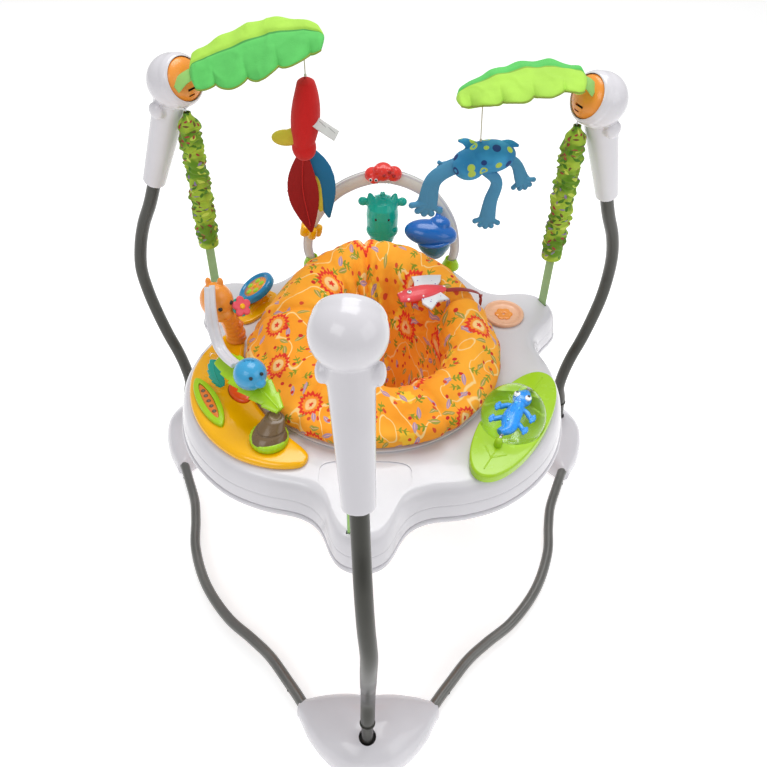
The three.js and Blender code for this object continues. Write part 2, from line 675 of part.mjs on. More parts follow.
// ---- right play station: leaf cradle, clear ball, axle and lizard ----
const BALL_ROOM = BUBBLE_RADIUS + 3;
const ballRoom = blob(BUBBLE, [BALL_ROOM, BALL_ROOM, BALL_ROOM], { sides: 14, stacks: 9 });
const axleEnds = [-1, 1].map((sign) => BUBBLE.clone().addScaledVector(BUBBLE_AXLE, sign * 55));
const cradleLugs = [-1, 1].map((sign) => rod(
  BUBBLE.clone().addScaledVector(BUBBLE_AXLE, sign * 56).setZ(TRAY_TOP + 3),
  BUBBLE.clone().addScaledVector(BUBBLE_AXLE, sign * 56).setZ(BUBBLE.z + 6), 6, 12));
add('leaf_cradle', cut(
  join(
    plate(lensOutline([212, -140], [0.498, 0.867], 236, 90, 1.05), TRAY_TOP + GAP, STATION_TOP + 2, 3),
    rod(BUBBLE.clone().setZ(TRAY_TOP + GAP), BUBBLE.clone().setZ(STATION_TOP + 1), BALL_ROOM + 2, 28),
    ...cradleLugs,
  ),
  ballRoom,
  rod(axleEnds[0].clone().addScaledVector(BUBBLE_AXLE, -GAP), axleEnds[1].clone().addScaledVector(BUBBLE_AXLE, GAP), 2.3 + GAP, 10),
), 'lime');
add('bubble', cut(
  blob(BUBBLE, [BUBBLE_RADIUS, BUBBLE_RADIUS, BUBBLE_RADIUS], { sides: 14, stacks: 9 }),
  blob(BUBBLE, [BUBBLE_RADIUS - 1.8, BUBBLE_RADIUS - 1.8, BUBBLE_RADIUS - 1.8], { sides: 14, stacks: 9 }),
  rod(axleEnds[0], axleEnds[1], 2.3 + GAP, 10),
), 'clear');
add('bubble_axle', rod(axleEnds[0], axleEnds[1], 2.3, 10), 'steel');
function lizard() {
  const along = BUBBLE_AXLE;
  const across = vec(-along.y, along.x, 0);
  const at = (forward, sideways, rise) => (
    BUBBLE.clone().addScaledVector(along, forward).addScaledVector(across, sideways).add(vec(0, 0, rise)));
  const body = bar([at(-40, 4, 1), at(-26, -2, 1), at(-6, 0, 2), at(13, 0, 2), at(28, 0, 3)],
    (share) => [2 + 9 * Math.sin(Math.PI * Math.min(1, 0.08 + 0.84 * share)), 6 - 3 * Math.abs(share - 0.6)], {
      sides: 8, segments: 7, up: vec(0, 0, 1),
    });
  const head = blob(at(30, 0, 3), [9.5, 9.5, 7], { sides: 8, stacks: 5 });
  const legs = [[-12, -1], [-12, 1], [12, -1], [12, 1]].map(([forward, sign]) => (
    bar([at(forward, 0, 1), at(forward + 4, sign * 10, 0), at(forward - 3, sign * 21, -2)], 3.2, { sides: 6, segments: 3 })));
  return cut(join(body, head, ...legs),
    rod(axleEnds[0], axleEnds[1], 2.3 + GAP, 10));
}
add('lizard', lizard(), 'skyBlue');

// ---- rear arch with its toys ----
const ARCH_Y = 255;
const ARCH_LEFT_FOOT = vec(-118, ARCH_Y, TRAY_TOP);
const ARCH_RIGHT_FOOT = vec(137, ARCH_Y, TRAY_TOP);
const ARCH_LINE = [
  vec(-118, ARCH_Y, TRAY_TOP + 8), vec(-124, ARCH_Y, 470), vec(-110, ARCH_Y, 530), vec(-62, ARCH_Y, 590),
  vec(10, ARCH_Y, 616), vec(80, ARCH_Y, 592), vec(128, ARCH_Y, 530), vec(142, ARCH_Y, 470), vec(137, ARCH_Y, TRAY_TOP + 8),
];
add('arch_rear', bar(ARCH_LINE, (share) => [6 + 3 * Math.sin(Math.PI * share), 6], {
  sides: 8, segments: 18, up: vec(0, 1, 0),
}), 'white');
[['arch_socket_left', ARCH_LEFT_FOOT], ['arch_socket_right', ARCH_RIGHT_FOOT]].forEach(([name, place]) => {
  add(name, cut(
    spun(place, vec(0, 0, 1), [[GAP, 0], [GAP, 16], [5, 16], [16, 11], [20, 10.5], [20, 0]], 16),
    bar(ARCH_LINE, (share) => [6 + GAP + 3 * Math.sin(Math.PI * share), 6 + GAP], { sides: 8, segments: 18, up: vec(0, 1, 0) }),
    rod(place.clone().setZ(TRAY_TOP + 7.4), place.clone().setZ(TRAY_TOP + 12), 6.6, 12),
  ), 'lime');
});

function bug() {
  const middle = vec(10, ARCH_Y - 4, 620);
  const lumps = [[-22, -4, -2, 18], [0, -3, 4, 20], [24, -2, 0, 18], [-20, -13, -6, 13]];
  const shell = lumps.map(([x, y, z, size]) => (
    blob(middle.clone().add(vec(x, y, z)), [size, size, size * 0.9], { sides: 9, stacks: 6 })));
  const clearance = bar(ARCH_LINE, (share) => [6.3 + 3 * Math.sin(Math.PI * share), 6.3], { sides: 8, segments: 18, up: vec(0, 1, 0) });
  return cut(join(...shell), clearance);
}
add('bug_clip', bug(), 'red');

const HIPPO_HOOK = vec(10, ARCH_Y - 2, 586);
function hippo() {
  const head = blob(vec(10, ARCH_Y - 2, 546), [29, 24, 28], { sides: 10, stacks: 7 });
  const muzzle = blob(vec(10, ARCH_Y - 14, 522), [30, 18, 16], { sides: 10, stacks: 6 });
  const foot3 = spun(vec(10, ARCH_Y - 4, 488), vec(0, 0, 1), [[0, 0], [0, 17], [6, 18], [24, 14], [24, 0]], 10);
  const ears = [-1, 1].map((sign) => rod(vec(10 + sign * 16, ARCH_Y - 2, 560), vec(10 + sign * 38, ARCH_Y - 2, 564), 6, 8));
  const stalk = rod(vec(10, ARCH_Y - 2, 566), HIPPO_HOOK, 5, 8);
  return join(head, muzzle, foot3, ...ears, stalk);
}
add('hippo', hippo(), 'teal');

const DROP_HOOK = vec(110, ARCH_Y - 12, 560);
function dropToy() {
  const upper = blob(vec(92, ARCH_Y - 29, 522), [40, 24, 21], { sides: 14, stacks: 9, turn: [0, 8, 0] });
  const lower = spun(vec(99, ARCH_Y - 27, 514), vec(0.1, 0, -1), [[0, 0], [0, 30], [16, 26], [34, 13], [41, 0]], 12);
  const stalk = rod(vec(100, ARCH_Y - 22, 528), DROP_HOOK, 5, 8);
  return join(upper, lower, stalk);
}
add('drop_toy', dropToy(), 'blue');

const REAR_FLOWER = vec(-117, ARCH_Y, 508);
const REAR_FLOWER_AXIS = vec(0.22, 0, 1).normalize();
add('rear_flower', cut(
  petalWheel(REAR_FLOWER, REAR_FLOWER_AXIS, 5, 13, 8, 11),
  rod(REAR_FLOWER.clone().addScaledVector(REAR_FLOWER_AXIS, -20), REAR_FLOWER.clone().addScaledVector(REAR_FLOWER_AXIS, 20), 10.6, 12),
), 'yellow');

// ---- round dish on the right rear lobe ----
add('round_dish', spun(vec(222, 118, TRAY_TOP + GAP), vec(0, 0, 1), [
  [0, 0], [0, 34], [5, 35], [7, 33], [7, 30], [2.5, 24], [2, 0],
], 20), 'peach');

// ---- seat: ring, padded fabric seat, teether strap and teether ----
add('seat_ring', turned(() => [
  [160, TRAY_TOP - 30], [SEAT_RING_RADIUS, TRAY_TOP - 30], [SEAT_RING_RADIUS, TRAY_TOP + GAP],
  [197, TRAY_TOP + GAP], [197, TRAY_TOP + 4], [160, TRAY_TOP + 4],
], evenAzimuths(32)), 'white');

const SEAT_BACK_AZIMUTH = 100;
const WELL_CENTRE = [34, -4];
const WELL_RADIUS = 74;
function wellReach(azimuth) {
  const [x, y] = [Math.cos(radians(azimuth)), Math.sin(radians(azimuth))];
  const along = WELL_CENTRE[0] * x + WELL_CENTRE[1] * y;
  return along + Math.sqrt(along ** 2 + WELL_RADIUS ** 2 - WELL_CENTRE[0] ** 2 - WELL_CENTRE[1] ** 2);
}

function seatPad() {
  const shell = turned((azimuth) => {
    const back = 0.5 + 0.5 * Math.cos(radians(azimuth - SEAT_BACK_AZIMUTH));
    const crest = 478 + 86 * back ** 1.7;
    const inner = wellReach(azimuth);
    const outer = SEAT_RADIUS;
    const rise = crest - 436;
    const span = outer - inner;
    return [
      [156, 434.8], [outer - 26, 434.8], [outer - 8, 437], [outer, 449], [outer - 6, 462], [outer - 0.21 * span, 436 + 0.72 * rise],
      [outer - 0.42 * span, crest], [inner + 0.3 * span, 436 + 0.97 * rise], [inner + 0.1 * span, 436 + 0.68 * rise],
      [inner, 446], [inner + 1, 425], [inner + 1, 350], [inner - 12, 300], [inner * 0.45, 268],
      [inner * 0.45, 264], [inner - 8, 295], [inner + 6, 348], [inner + 6, 424], [Math.min(154, inner + 14), 431],
    ];
  }, evenAzimuths(22));
  const floor = spun(vec(0, 0, 262), vec(0, 0, 1), [[0, 0], [0, 60], [5, 62], [5, 0]], 16);
  const legs = [-1, 1].map((sign) => {
    const facing = SEAT_BACK_AZIMUTH + 180 + sign * 42;
    return rod(polar(30, facing, 312).add(vec(WELL_CENTRE[0], WELL_CENTRE[1], 0)),
      polar(150, facing, 300).add(vec(WELL_CENTRE[0], WELL_CENTRE[1], 0)), 40, 12);
  });
  return cut(join(shell, floor), ...legs);
}
add('seat_pad', seatPad(), 'padding');

const TEETHER_PIVOT = vec(174, 86, 480);
add('teether_strap', bar([TEETHER_PIVOT, vec(167, 81, 505), vec(142, 67, 525), vec(112, 56, 532)], () => [4.5, 1.2], {
  sides: 6, segments: 6, up: vec(-0.3, -0.2, 0.93),
}), 'darkRed');
function teether() {
  const middle = vec(78, 44, 536);
  const body = bar([vec(38, 31, 534), vec(56, 37, 536), vec(82, 45, 537), vec(111, 55.4, 536)],
    (share) => [3.5 + 12.5 * Math.sin(Math.PI * Math.min(1, 0.18 + 0.78 * share)), 4 + 4.4 * Math.sin(Math.PI * share)], {
      sides: 8, segments: 6, up: vec(0, 0, 1),
    });
  const topFin = plate([[62, 52], [98, 60], [106, 88], [58, 82]], 534, 538, 1);
  const lowFin = plate([[72, 38], [102, 46], [116, 28], [98, 22], [88, 2], [74, 16]], 534, 538, 1);
  return join(body, topFin, lowFin, blob(middle, [12, 9, 6], { sides: 8, stacks: 4 }));
}
add('teether', teether(), 'pink');

// ---- leaf arms on the rear posts ----
function plushLeaf(points, up, halfWidth) {
  const lobes = (share) => 1 + 0.07 * Math.cos(share * 2 * Math.PI * 4.5);
  return bar(points, (share) => [
    (8 + (halfWidth - 8) * Math.sin(Math.PI * Math.min(1, 0.1 + 0.86 * share)) ** 0.7) * lobes(share), 7.5,
  ], { sides: 8, segments: 14, up });
}
add('leaf_left', plushLeaf([vec(-256, 168, 826), vec(-205, 168, 846), vec(-140, 170, 868), vec(-74, 176, 876)],
  vec(0, -0.42, 0.9), 52), 'leafMint');
add('leaf_right', plushLeaf([vec(283, 140, 838), vec(235, 142, 838), vec(175, 143, 826), vec(112, 143, 804)],
  vec(0, -0.1, 1), 51), 'leafLime');

// ---- plush toys on cords ----
const PARROT_CORD_TOP = vec(-104, 178, 859);
const PARROT_TOP = vec(-104, 182, 816);
add('parrot_cord', rod(PARROT_CORD_TOP, PARROT_TOP, 0.9, 8), 'cord');
function parrot() {
  const up = vec(0, -0.7, 0.7);
  const body = bar([vec(-104, 182, 815.7), vec(-104, 182, 790), vec(-109, 182, 740), vec(-116, 182, 690)],
    (share) => 5 + 17 * Math.sin(Math.PI * Math.min(1, 0.1 + 0.8 * share)), { sides: 10, segments: 7 });
  const beak = blob(vec(-139, 180, 722), [22, 9, 13], { sides: 8, stacks: 5 });
  const redWing = bar([vec(-114, 180, 700), vec(-118, 180, 640), vec(-108, 180, 552)],
    (share) => [4 + 22 * Math.sin(Math.PI * Math.min(1, 0.05 + 0.9 * share)), 4], { sides: 6, segments: 7, up });
  const blueWing = bar([vec(-110, 186, 705), vec(-90, 188, 660), vec(-78, 188, 575)],
    (share) => [4 + 17 * Math.sin(Math.PI * Math.min(1, 0.05 + 0.9 * share)), 4], { sides: 6, segments: 7, up });
  return join(body, beak, redWing, blueWing);
}
add('parrot', parrot(), 'plushRed');

const FROG_CORD_TOP = vec(150, 146, 807);
const FROG_TOP = vec(154, 150, 737);
add('frog_cord', rod(FROG_CORD_TOP, FROG_TOP, 0.9, 8), 'cord');
function frog() {
  const up = vec(0, -0.7, 0.7);
  const flatLeg = (points, half) => bar(points, (share) => [half * (0.75 + 0.5 * share ** 3), 4.5], { sides: 6, segments: 5, up });
  const body = blob(vec(166, 152, 712), [38, 28, 22], { sides: 10, stacks: 6, turn: [-20, -8, 0] });
  const head = blob(vec(140, 142, 706), [22, 20, 19], { sides: 8, stacks: 6 });
  const crown = blob(vec(154, 150, 727), [12, 10, 9.6], { sides: 6, stacks: 5 });
  const legs = [
    flatLeg([vec(142, 145, 702), vec(108, 140, 684), vec(82, 140, 640), vec(74, 140, 596)], 16),
    flatLeg([vec(170, 140, 700), vec(176, 128, 660), vec(176, 126, 606)], 13),
    flatLeg([vec(190, 158, 708), vec(214, 162, 690), vec(230, 162, 652)], 11),
    flatLeg([vec(150, 168, 702), vec(124, 176, 686), vec(100, 178, 674)], 9),
  ];
  return join(body, head, crown, ...legs);
}
add('frog', frog(), 'plushBlue');

export default jumper;
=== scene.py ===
from math import atan2, copysign, cos, degrees, exp, pi, radians, sin, sqrt, tau

import bmesh
import bpy
from mathutils import Matrix, Vector, noise


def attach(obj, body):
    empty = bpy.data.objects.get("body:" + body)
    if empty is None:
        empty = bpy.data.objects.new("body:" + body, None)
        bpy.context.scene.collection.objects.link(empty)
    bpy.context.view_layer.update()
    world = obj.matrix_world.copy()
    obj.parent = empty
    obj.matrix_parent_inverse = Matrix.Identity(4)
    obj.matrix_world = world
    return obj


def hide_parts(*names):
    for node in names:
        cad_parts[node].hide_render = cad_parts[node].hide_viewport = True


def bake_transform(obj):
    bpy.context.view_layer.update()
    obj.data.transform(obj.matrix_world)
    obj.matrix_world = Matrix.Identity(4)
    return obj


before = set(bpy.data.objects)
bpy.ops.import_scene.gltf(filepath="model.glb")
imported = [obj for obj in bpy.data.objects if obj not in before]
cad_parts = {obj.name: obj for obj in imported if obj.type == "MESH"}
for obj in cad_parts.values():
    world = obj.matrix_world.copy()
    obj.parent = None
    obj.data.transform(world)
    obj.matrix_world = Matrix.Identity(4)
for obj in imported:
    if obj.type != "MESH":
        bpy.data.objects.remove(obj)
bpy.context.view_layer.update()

# Everything below is laid out in millimetres about the seat's upright axis. The frame's origin is on the
# floor under the middle of the whole part, which is this far from the seat's axis.
PART_MIDDLE = Vector((-0.251, -76.816, 0.0))

CAMERA_PLACE = (10.2, -932.7, 1307.0)
CAMERA_AZIMUTH = -0.206
CAMERA_ELEVATION = 44.93
CAMERA_ROLL = 1.07
CAMERA_LENS = 37.02

POSTS = {"front": -90.0, "left": 150.0, "right": 30.0}
UPRIGHT_LINE = [
    (455, 19), (457, 50), (457, 80), (449, 122), (440, 156), (444, 197), (455, 235),
    (470, 270), (486, 320), (497, 370), (500, 420), (492, 470), (475, 520), (450, 570), (430, 617),
    (409, 668),
]
UPRIGHT_TWIST = [(100, 0), (420, 0.3), (617, -1.3), (800, -3.4)]
BASE_TUBE_LINE = [(12.6, 424), (14.4, 411), (17, 396), (21, 378), (28.5, 354), (36, 346), (46, 347.5)]
BASE_TUBE_STARTS = {"base_tube_front_left": -90.0, "base_tube_front_right": 30.0, "base_tube_rear": 150.0}
CLIP_ANGLE = 19.6
BALL_CENTRE = (356.5, 800)
SLEEVE_BOTTOM = (430.5, 618.7)
FACE_TILT = 22
HANGER_RADIUS = 333
COVER_TOP = 762
COVER_BOTTOM = 528
TRAY_TOP = 430
TRAY_RIM = 374
TRAY_HOLE_RADIUS = 186
TRAY_TWIST = -2
HANGER_TWIST = {"front": -3.4, "left": -2.0, "right": -2.0}
TRAY_OUTLINE = [
    (0, 356), (3, 353.5), (5.5, 345), (7.5, 331), (10, 309), (12.5, 295), (16, 286.5),
    (21, 285.5), (30, 297.5), (42, 311), (60, 318),
]
ON_TRAY = TRAY_TOP + 0.3
SEAT_RADIUS = 200
SEAT_BACK_AZIMUTH = 100
WELL_CENTRE = (34, -4)
WELL_RADIUS = 74
STATION_TOP = 442
ON_STATION = STATION_TOP + 0.3
SHARP_ANGLE = 38
HOOK_TOP = 788
HOOK_BOTTOM = 590
SPRING_TURNS = 6
SPRING_STEPS = 16
SPRING_TOP = 738
SPRING_BOTTOM = 612
SPRING_RADIUS = 9
COVER_HOLLOW = 13.4
ARCH_Y = 255
ARCH_LINE = [
    (-118, ARCH_Y, 438), (-124, ARCH_Y, 470), (-110, ARCH_Y, 530), (-62, ARCH_Y, 590), (10, ARCH_Y, 616),
    (80, ARCH_Y, 592), (128, ARCH_Y, 530), (142, ARCH_Y, 470), (137, ARCH_Y, 438),
]
BUBBLE = Vector((208, -140, 454))
BUBBLE_RADIUS = 48
BUBBLE_AXLE = Vector((0.47, 0.88, 0)).normalized()


# ---- small maths, in millimetres and degrees ----
def polar(radius, azimuth, z):
    """A point given by its distance and direction from the seat axis, azimuth 0 being +X."""
    turn = radians(azimuth)
    return Vector((radius * cos(turn), radius * sin(turn), z))


def look_up(table, x):
    """Straight lines through the table of (x, y) points, level beyond both ends."""
    if x <= table[0][0]:
        return table[0][1]
    for (x0, y0), (x1, y1) in zip(table, table[1:]):
        if x <= x1:
            return y0 + (y1 - y0) * (x - x0) / (x1 - x0)
    return table[-1][1]


def smooth_look_up(table, x):
    """A smooth curve through the table's points, level at both ends."""
    if x <= table[0][0]:
        return table[0][1]
    if x >= table[-1][0]:
        return table[-1][1]
    slopes = [0.0]
    for (x0, y0), (x2, y2) in zip(table, table[2:]):
        slopes.append((y2 - y0) / (x2 - x0))
    slopes.append(0.0)
    for k in range(len(table) - 1):
        (x0, y0), (x1, y1) = table[k], table[k + 1]
        if x <= x1:
            step = x1 - x0
            t = (x - x0) / step
            return ((2 * t ** 3 - 3 * t ** 2 + 1) * y0 + (t ** 3 - 2 * t ** 2 + t) * step * slopes[k]
                    + (3 * t ** 2 - 2 * t ** 3) * y1 + (t ** 3 - t ** 2) * step * slopes[k + 1])
    return table[-1][1]


def clamp(value, low=0.0, high=1.0):
    return max(low, min(high, value))


def ease(value, low, high):
    """0 below low, 1 above high and a smooth rise between."""
    t = clamp((value - low) / (high - low))
    return t * t * (3 - 2 * t)


def swell(share, start=0.1, span=0.88, power=1.0):
    """Part of a half wave: how wide a leaf or wing is along its length."""
    return sin(pi * min(1.0, start + span * share)) ** power


def waves(x, y, z):
    """A smooth random field, the same each run."""
    return noise.noise(Vector((x, y, z)))


def post_point(azimuth, radius, z):
    """A point on an upright, which leans a little round the middle as it rises."""
    return polar(radius, azimuth + look_up(UPRIGHT_TWIST, z), z)


def rim_radius(azimuth):
    """The tray's outer radius; three lobes, one towards each post."""
    from_lobe = abs(((azimuth - TRAY_TWIST + 90) % 120 + 180) % 120 - 60)
    return smooth_look_up(TRAY_OUTLINE, from_lobe)


def smooth_line(points, count):
    """count + 1 evenly spaced points on a centripetal curve through the given points."""
    points = [Vector(p) for p in points]
    ends = [points[0] * 2 - points[1]] + points + [points[-1] * 2 - points[-2]]
    dense = []
    for k in range(1, len(ends) - 2):
        p0, p1, p2, p3 = ends[k - 1:k + 3]
        t0 = 0.0
        t1 = t0 + max(1e-6, (p1 - p0).length) ** 0.5
        t2 = t1 + max(1e-6, (p2 - p1).length) ** 0.5
        t3 = t2 + max(1e-6, (p3 - p2).length) ** 0.5
        for j in range(24):
            t = t1 + (t2 - t1) * j / 24
            a1 = p0 * ((t1 - t) / (t1 - t0)) + p1 * ((t - t0) / (t1 - t0))
            a2 = p1 * ((t2 - t) / (t2 - t1)) + p2 * ((t - t1) / (t2 - t1))
            a3 = p2 * ((t3 - t) / (t3 - t2)) + p3 * ((t - t2) / (t3 - t2))
            b1 = a1 * ((t2 - t) / (t2 - t0)) + a2 * ((t - t0) / (t2 - t0))
            b2 = a2 * ((t3 - t) / (t3 - t1)) + a3 * ((t - t1) / (t3 - t1))
            dense.append(b1 * ((t2 - t) / (t2 - t1)) + b2 * ((t - t1) / (t2 - t1)))
    dense.append(points[-1])
    lengths = [0.0]
    for a, b in zip(dense, dense[1:]):
        lengths.append(lengths[-1] + (b - a).length)
    line = []
    k = 0
    for n in range(count + 1):
        goal = lengths[-1] * n / count
        while k < len(dense) - 2 and lengths[k + 1] < goal:
            k += 1
        span = max(1e-9, lengths[k + 1] - lengths[k])
        line.append(dense[k].lerp(dense[k + 1], clamp((goal - lengths[k]) / span)))
    return line


# ---- shapes: (points, faces) in millimetres ----
def loft(rings, closed=False):
    """Skin over rings of equal count, with flat ends unless it closes on itself."""
    count = len(rings[0])
    points = [p for ring in rings for p in ring]
    faces = []
    for k in range(len(rings) if closed else len(rings) - 1):
        a, b = k * count, ((k + 1) % len(rings)) * count
        for i in range(count):
            j = (i + 1) % count
            faces.append((a + i, a + j, b + j, b + i))
    if not closed:
        faces.append(tuple(range(count))[::-1])
        last = (len(rings) - 1) * count
        faces.append(tuple(range(last, last + count)))
    return points, faces


def bar(points, radius, sides=20, segments=40, up=None):
    """A bar along a curve; radius is a number, an (across, along up) pair or a function of the share."""
    line = smooth_line(points, segments)
    rings = []
    normal = None
    for k, place in enumerate(line):
        tangent = (line[min(k + 1, segments)] - line[max(k - 1, 0)]).normalized()
        if up is not None:
            normal = Vector(up)
        elif normal is None:
            normal = Vector((0, 0, 1)) if abs(tangent.z) < 0.9 else Vector((1, 0, 0))
        normal = (normal - tangent * normal.dot(tangent)).normalized()
        side = normal.cross(tangent)
        size = radius(k / segments) if callable(radius) else radius
        across, along = size if isinstance(size, tuple) else (size, size)
        rings.append([place + side * (across * cos(tau * i / sides))
                      + normal * (along * sin(tau * i / sides)) for i in range(sides)])
    return loft(rings)


def turn_to(direction):
    """The turn that brings +Z to the given direction."""
    return Vector((0, 0, 1)).rotation_difference(Vector(direction).normalized()).to_matrix()


def spun(origin, direction, profile, sides=48):
    """A turned shape; profile is a list of (distance along the axis, radius)."""
    turn = turn_to(direction)
    rings = []
    for along, radius in profile:
        radius = max(radius, 0.01)
        rings.append([Vector(origin) + turn @ Vector((radius * cos(tau * i / sides),
                                                      radius * sin(tau * i / sides), along))
                      for i in range(sides)])
    return loft(rings)


def blob(centre, radii, sides=32, stacks=20, turn=(0, 0, 0)):
    spin = Matrix.Rotation(radians(turn[2]), 3, "Z") @ Matrix.Rotation(radians(turn[1]), 3, "Y") \
        @ Matrix.Rotation(radians(turn[0]), 3, "X")
    rings = []
    for k in range(stacks + 1):
        lift = pi * (k + 0.02) / (stacks + 0.04) - pi / 2
        rings.append([Vector(centre) + spin @ Vector((
            radii[0] * cos(lift) * cos(tau * i / sides),
            radii[1] * cos(lift) * sin(tau * i / sides),
            radii[2] * sin(lift))) for i in range(sides)])
    return loft(rings)


def slab(outline, bottom, top, edge, steps=4):
    """A plate from a plan outline, its upper edge rounded by shrinking towards the outline's middle."""
    middle = sum((Vector((x, y, 0)) for x, y in outline), Vector()) / len(outline)
    reach = sum(((Vector((x, y, 0)) - middle).length for x, y in outline)) / len(outline)
    rings = [[Vector((x, y, bottom)) for x, y in outline]]
    for k in range(steps + 1):
        turn = pi / 2 * k / steps
        inset = edge * (1 - cos(turn)) / reach
        z = top - edge + edge * sin(turn)
        rings.append([middle.lerp(Vector((x, y, 0)), 1 - inset) + Vector((0, 0, z)) for x, y in outline])
    return loft(rings)


def lens_outline(centre, direction, length, width, blunt, count=48):
    """A pointed oval in plan; a small blunt makes it fuller."""
    outline = []
    for k in range(count):
        turn = tau * k / count
        along = cos(turn) * length / 2
        across = copysign(abs(sin(turn)) ** blunt, sin(turn)) * width / 2
        outline.append((centre[0] + along * direction[0] - across * direction[1],
                        centre[1] + along * direction[1] + across * direction[0]))
    return outline


def merged(*shapes):
    points = []
    faces = []
    for shape_points, shape_faces in shapes:
        offset = len(points)
        points.extend(shape_points)
        faces.extend(tuple(i + offset for i in face) for face in shape_faces)
    return points, faces


def hoop(rings):
    """Closed profiles all the way round an axis."""
    return loft(rings, True)


def rounded(profile, radius, steps=4):
    """A closed profile with each corner cut by a small curve."""
    result = []
    count = len(profile)
    for k in range(count):
        before, here, after = (Vector(profile[(k + d) % count]) for d in (-1, 0, 1))
        back = (before - here)
        ahead = (after - here)
        start = here + back * min(0.45, radius / max(back.length, 1e-6))
        end = here + ahead * min(0.45, radius / max(ahead.length, 1e-6))
        for j in range(steps + 1):
            t = j / steps
            result.append(start * (1 - t) ** 2 + here * (2 * t * (1 - t)) + end * t ** 2)
    return result


def rod(start, end, radius, sides=32):
    """A straight round rod."""
    start, end = Vector(start), Vector(end)
    return spun(start, end - start, [(0, radius), ((end - start).length, radius)], sides)


def sector_plate(from_azimuth, to_azimuth, inner, outer_at, bottom, top, blunt, steps=72):
    """A plate between two radii that narrows to nothing at both ends."""
    rings = []
    for k in range(steps + 1):
        along = -cos(pi * k / steps)
        azimuth = (from_azimuth + to_azimuth) / 2 + (to_azimuth - from_azimuth) / 2 * along
        closing = max(0.06, (1 - min(1.0, abs(along)) ** blunt) ** (1 / blunt))
        middle = (inner + outer_at(azimuth)) / 2
        half = (outer_at(azimuth) - inner) / 2 * closing
        lift = (top - bottom) * max(0.35, closing ** 0.3)
        edge = min(6, half * 0.4)
        section = rounded([(-half, bottom), (half, bottom), (half, bottom + 0.6 * lift),
                           (half - edge, bottom + lift),
                           (edge - half, bottom + lift), (-half, bottom + 0.6 * lift)], 3.5)
        rings.append([polar(middle + p.x, azimuth, p.y) for p in section])
    return loft(rings)


def box(centre, size, turn=0.0):
    corners = []
    spin = Matrix.Rotation(radians(turn), 3, "Z")
    for z in (-0.5, 0.5):
        for x, y in ((-0.5, -0.5), (0.5, -0.5), (0.5, 0.5), (-0.5, 0.5)):
            corners.append(Vector(centre) + spin @ Vector((x * size[0], y * size[1], z * size[2])))
    return loft([corners[:4], corners[4:]])


def rounded_open(profile, steps=3):
    """A profile whose inner corners are softened; the ends stay."""
    points = [Vector(p) for p in profile]
    result = [points[0]]
    for k in range(1, len(points) - 1):
        for j in range(steps + 1):
            t = j / steps
            a = points[k].lerp(points[k - 1], 0.35)
            b = points[k].lerp(points[k + 1], 0.35)
            result.append(a * (1 - t) ** 2 + points[k] * (2 * t * (1 - t)) + b * t ** 2)
    result.append(points[-1])
    return [(p.x, p.y) for p in result]


def chain_link(centre, wide, high, thick, steps):
    """An upright oval ring seen from the front, with round wire."""
    rings = []
    for i in range(steps):
        around = tau * i / steps
        wire = []
        for j in range(10):
            turn = tau * j / 10
            bulge = thick * cos(turn)
            wire.append(Vector(centre) + Vector((cos(around) * (wide + bulge), thick * sin(turn),
                                                 sin(around) * (high + bulge))))
        rings.append(wire)
    return hoop(rings)


# ---- objects ----
def to_metres(point):
    """Millimetres about the seat axis to the frame's metres."""
    return (Vector(point) - PART_MIDDLE) / 1000


def make(name, shape, material, body, replaces=(), subdivide=0, smooth=True, uv=None):
    """A new object that rides a body and stands for the named CAD pieces."""
    points, faces = shape
    mesh = bpy.data.meshes.new(name)
    mesh.from_pydata([to_metres(p) for p in points], [], faces)
    if uv:
        layer = mesh.uv_layers.new(name="print")
        for loop in mesh.loops:
            layer.data[loop.index].uv = uv[loop.vertex_index]
    work = bmesh.new()
    work.from_mesh(mesh)
    bmesh.ops.remove_doubles(work, verts=work.verts, dist=1e-5)
    bmesh.ops.recalc_face_normals(work, faces=work.faces)
    work.to_mesh(mesh)
    work.free()
    thing = bpy.data.objects.new(name, mesh)
    bpy.context.scene.collection.objects.link(thing)
    finish_piece(thing, material, body, replaces, smooth)
    if subdivide:
        modifier = thing.modifiers.new("subdivision", "SUBSURF")
        modifier.levels = subdivide
        modifier.render_levels = subdivide
    return thing


def finish_piece(thing, material, body, replaces, smooth=True):
    thing.data.materials.clear()
    thing.data.materials.append(material)
    if smooth:
        thing.data.shade_smooth()
    if body:
        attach(thing, body)
    if replaces:
        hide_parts(*([replaces] if isinstance(replaces, str) else replaces))


def baked(thing):
    """The object's mesh with its modifiers applied, as plain data."""
    graph = bpy.context.evaluated_depsgraph_get()
    graph.update()
    mesh = bpy.data.meshes.new_from_object(thing.evaluated_get(graph))
    thing.modifiers.clear()
    old = thing.data
    thing.data = mesh
    bpy.data.meshes.remove(old)
    return thing


def melt(name, shapes, voxel, material, body, replaces=(), relax=4):
    """Shapes moulded into one skin with soft inside corners, as in a blow- or injection-moulded toy."""
    thing = make(name, merged(*shapes), material, None)
    remesh = thing.modifiers.new("remesh", "REMESH")
    remesh.mode = "VOXEL"
    remesh.voxel_size = voxel / 1000
    if relax:
        soften = thing.modifiers.new("soften", "SMOOTH")
        soften.factor = 0.5
        soften.iterations = relax
    baked(thing)
    finish_piece(thing, material, body, replaces)
    return thing


def carve(thing, *tools):
    """Cuts plain shapes out of an object."""
    for shape in tools:
        tool = make("tool", shape, thing.data.materials[0], None)
        cutter = thing.modifiers.new("cut", "BOOLEAN")
        cutter.operation = "DIFFERENCE"
        cutter.solver = "EXACT"
        cutter.object = tool
        baked(thing)
        bpy.data.objects.remove(tool)
    thing.data.shade_smooth()
    thing.data.set_sharp_from_angle(angle=radians(SHARP_ANGLE))
    return thing


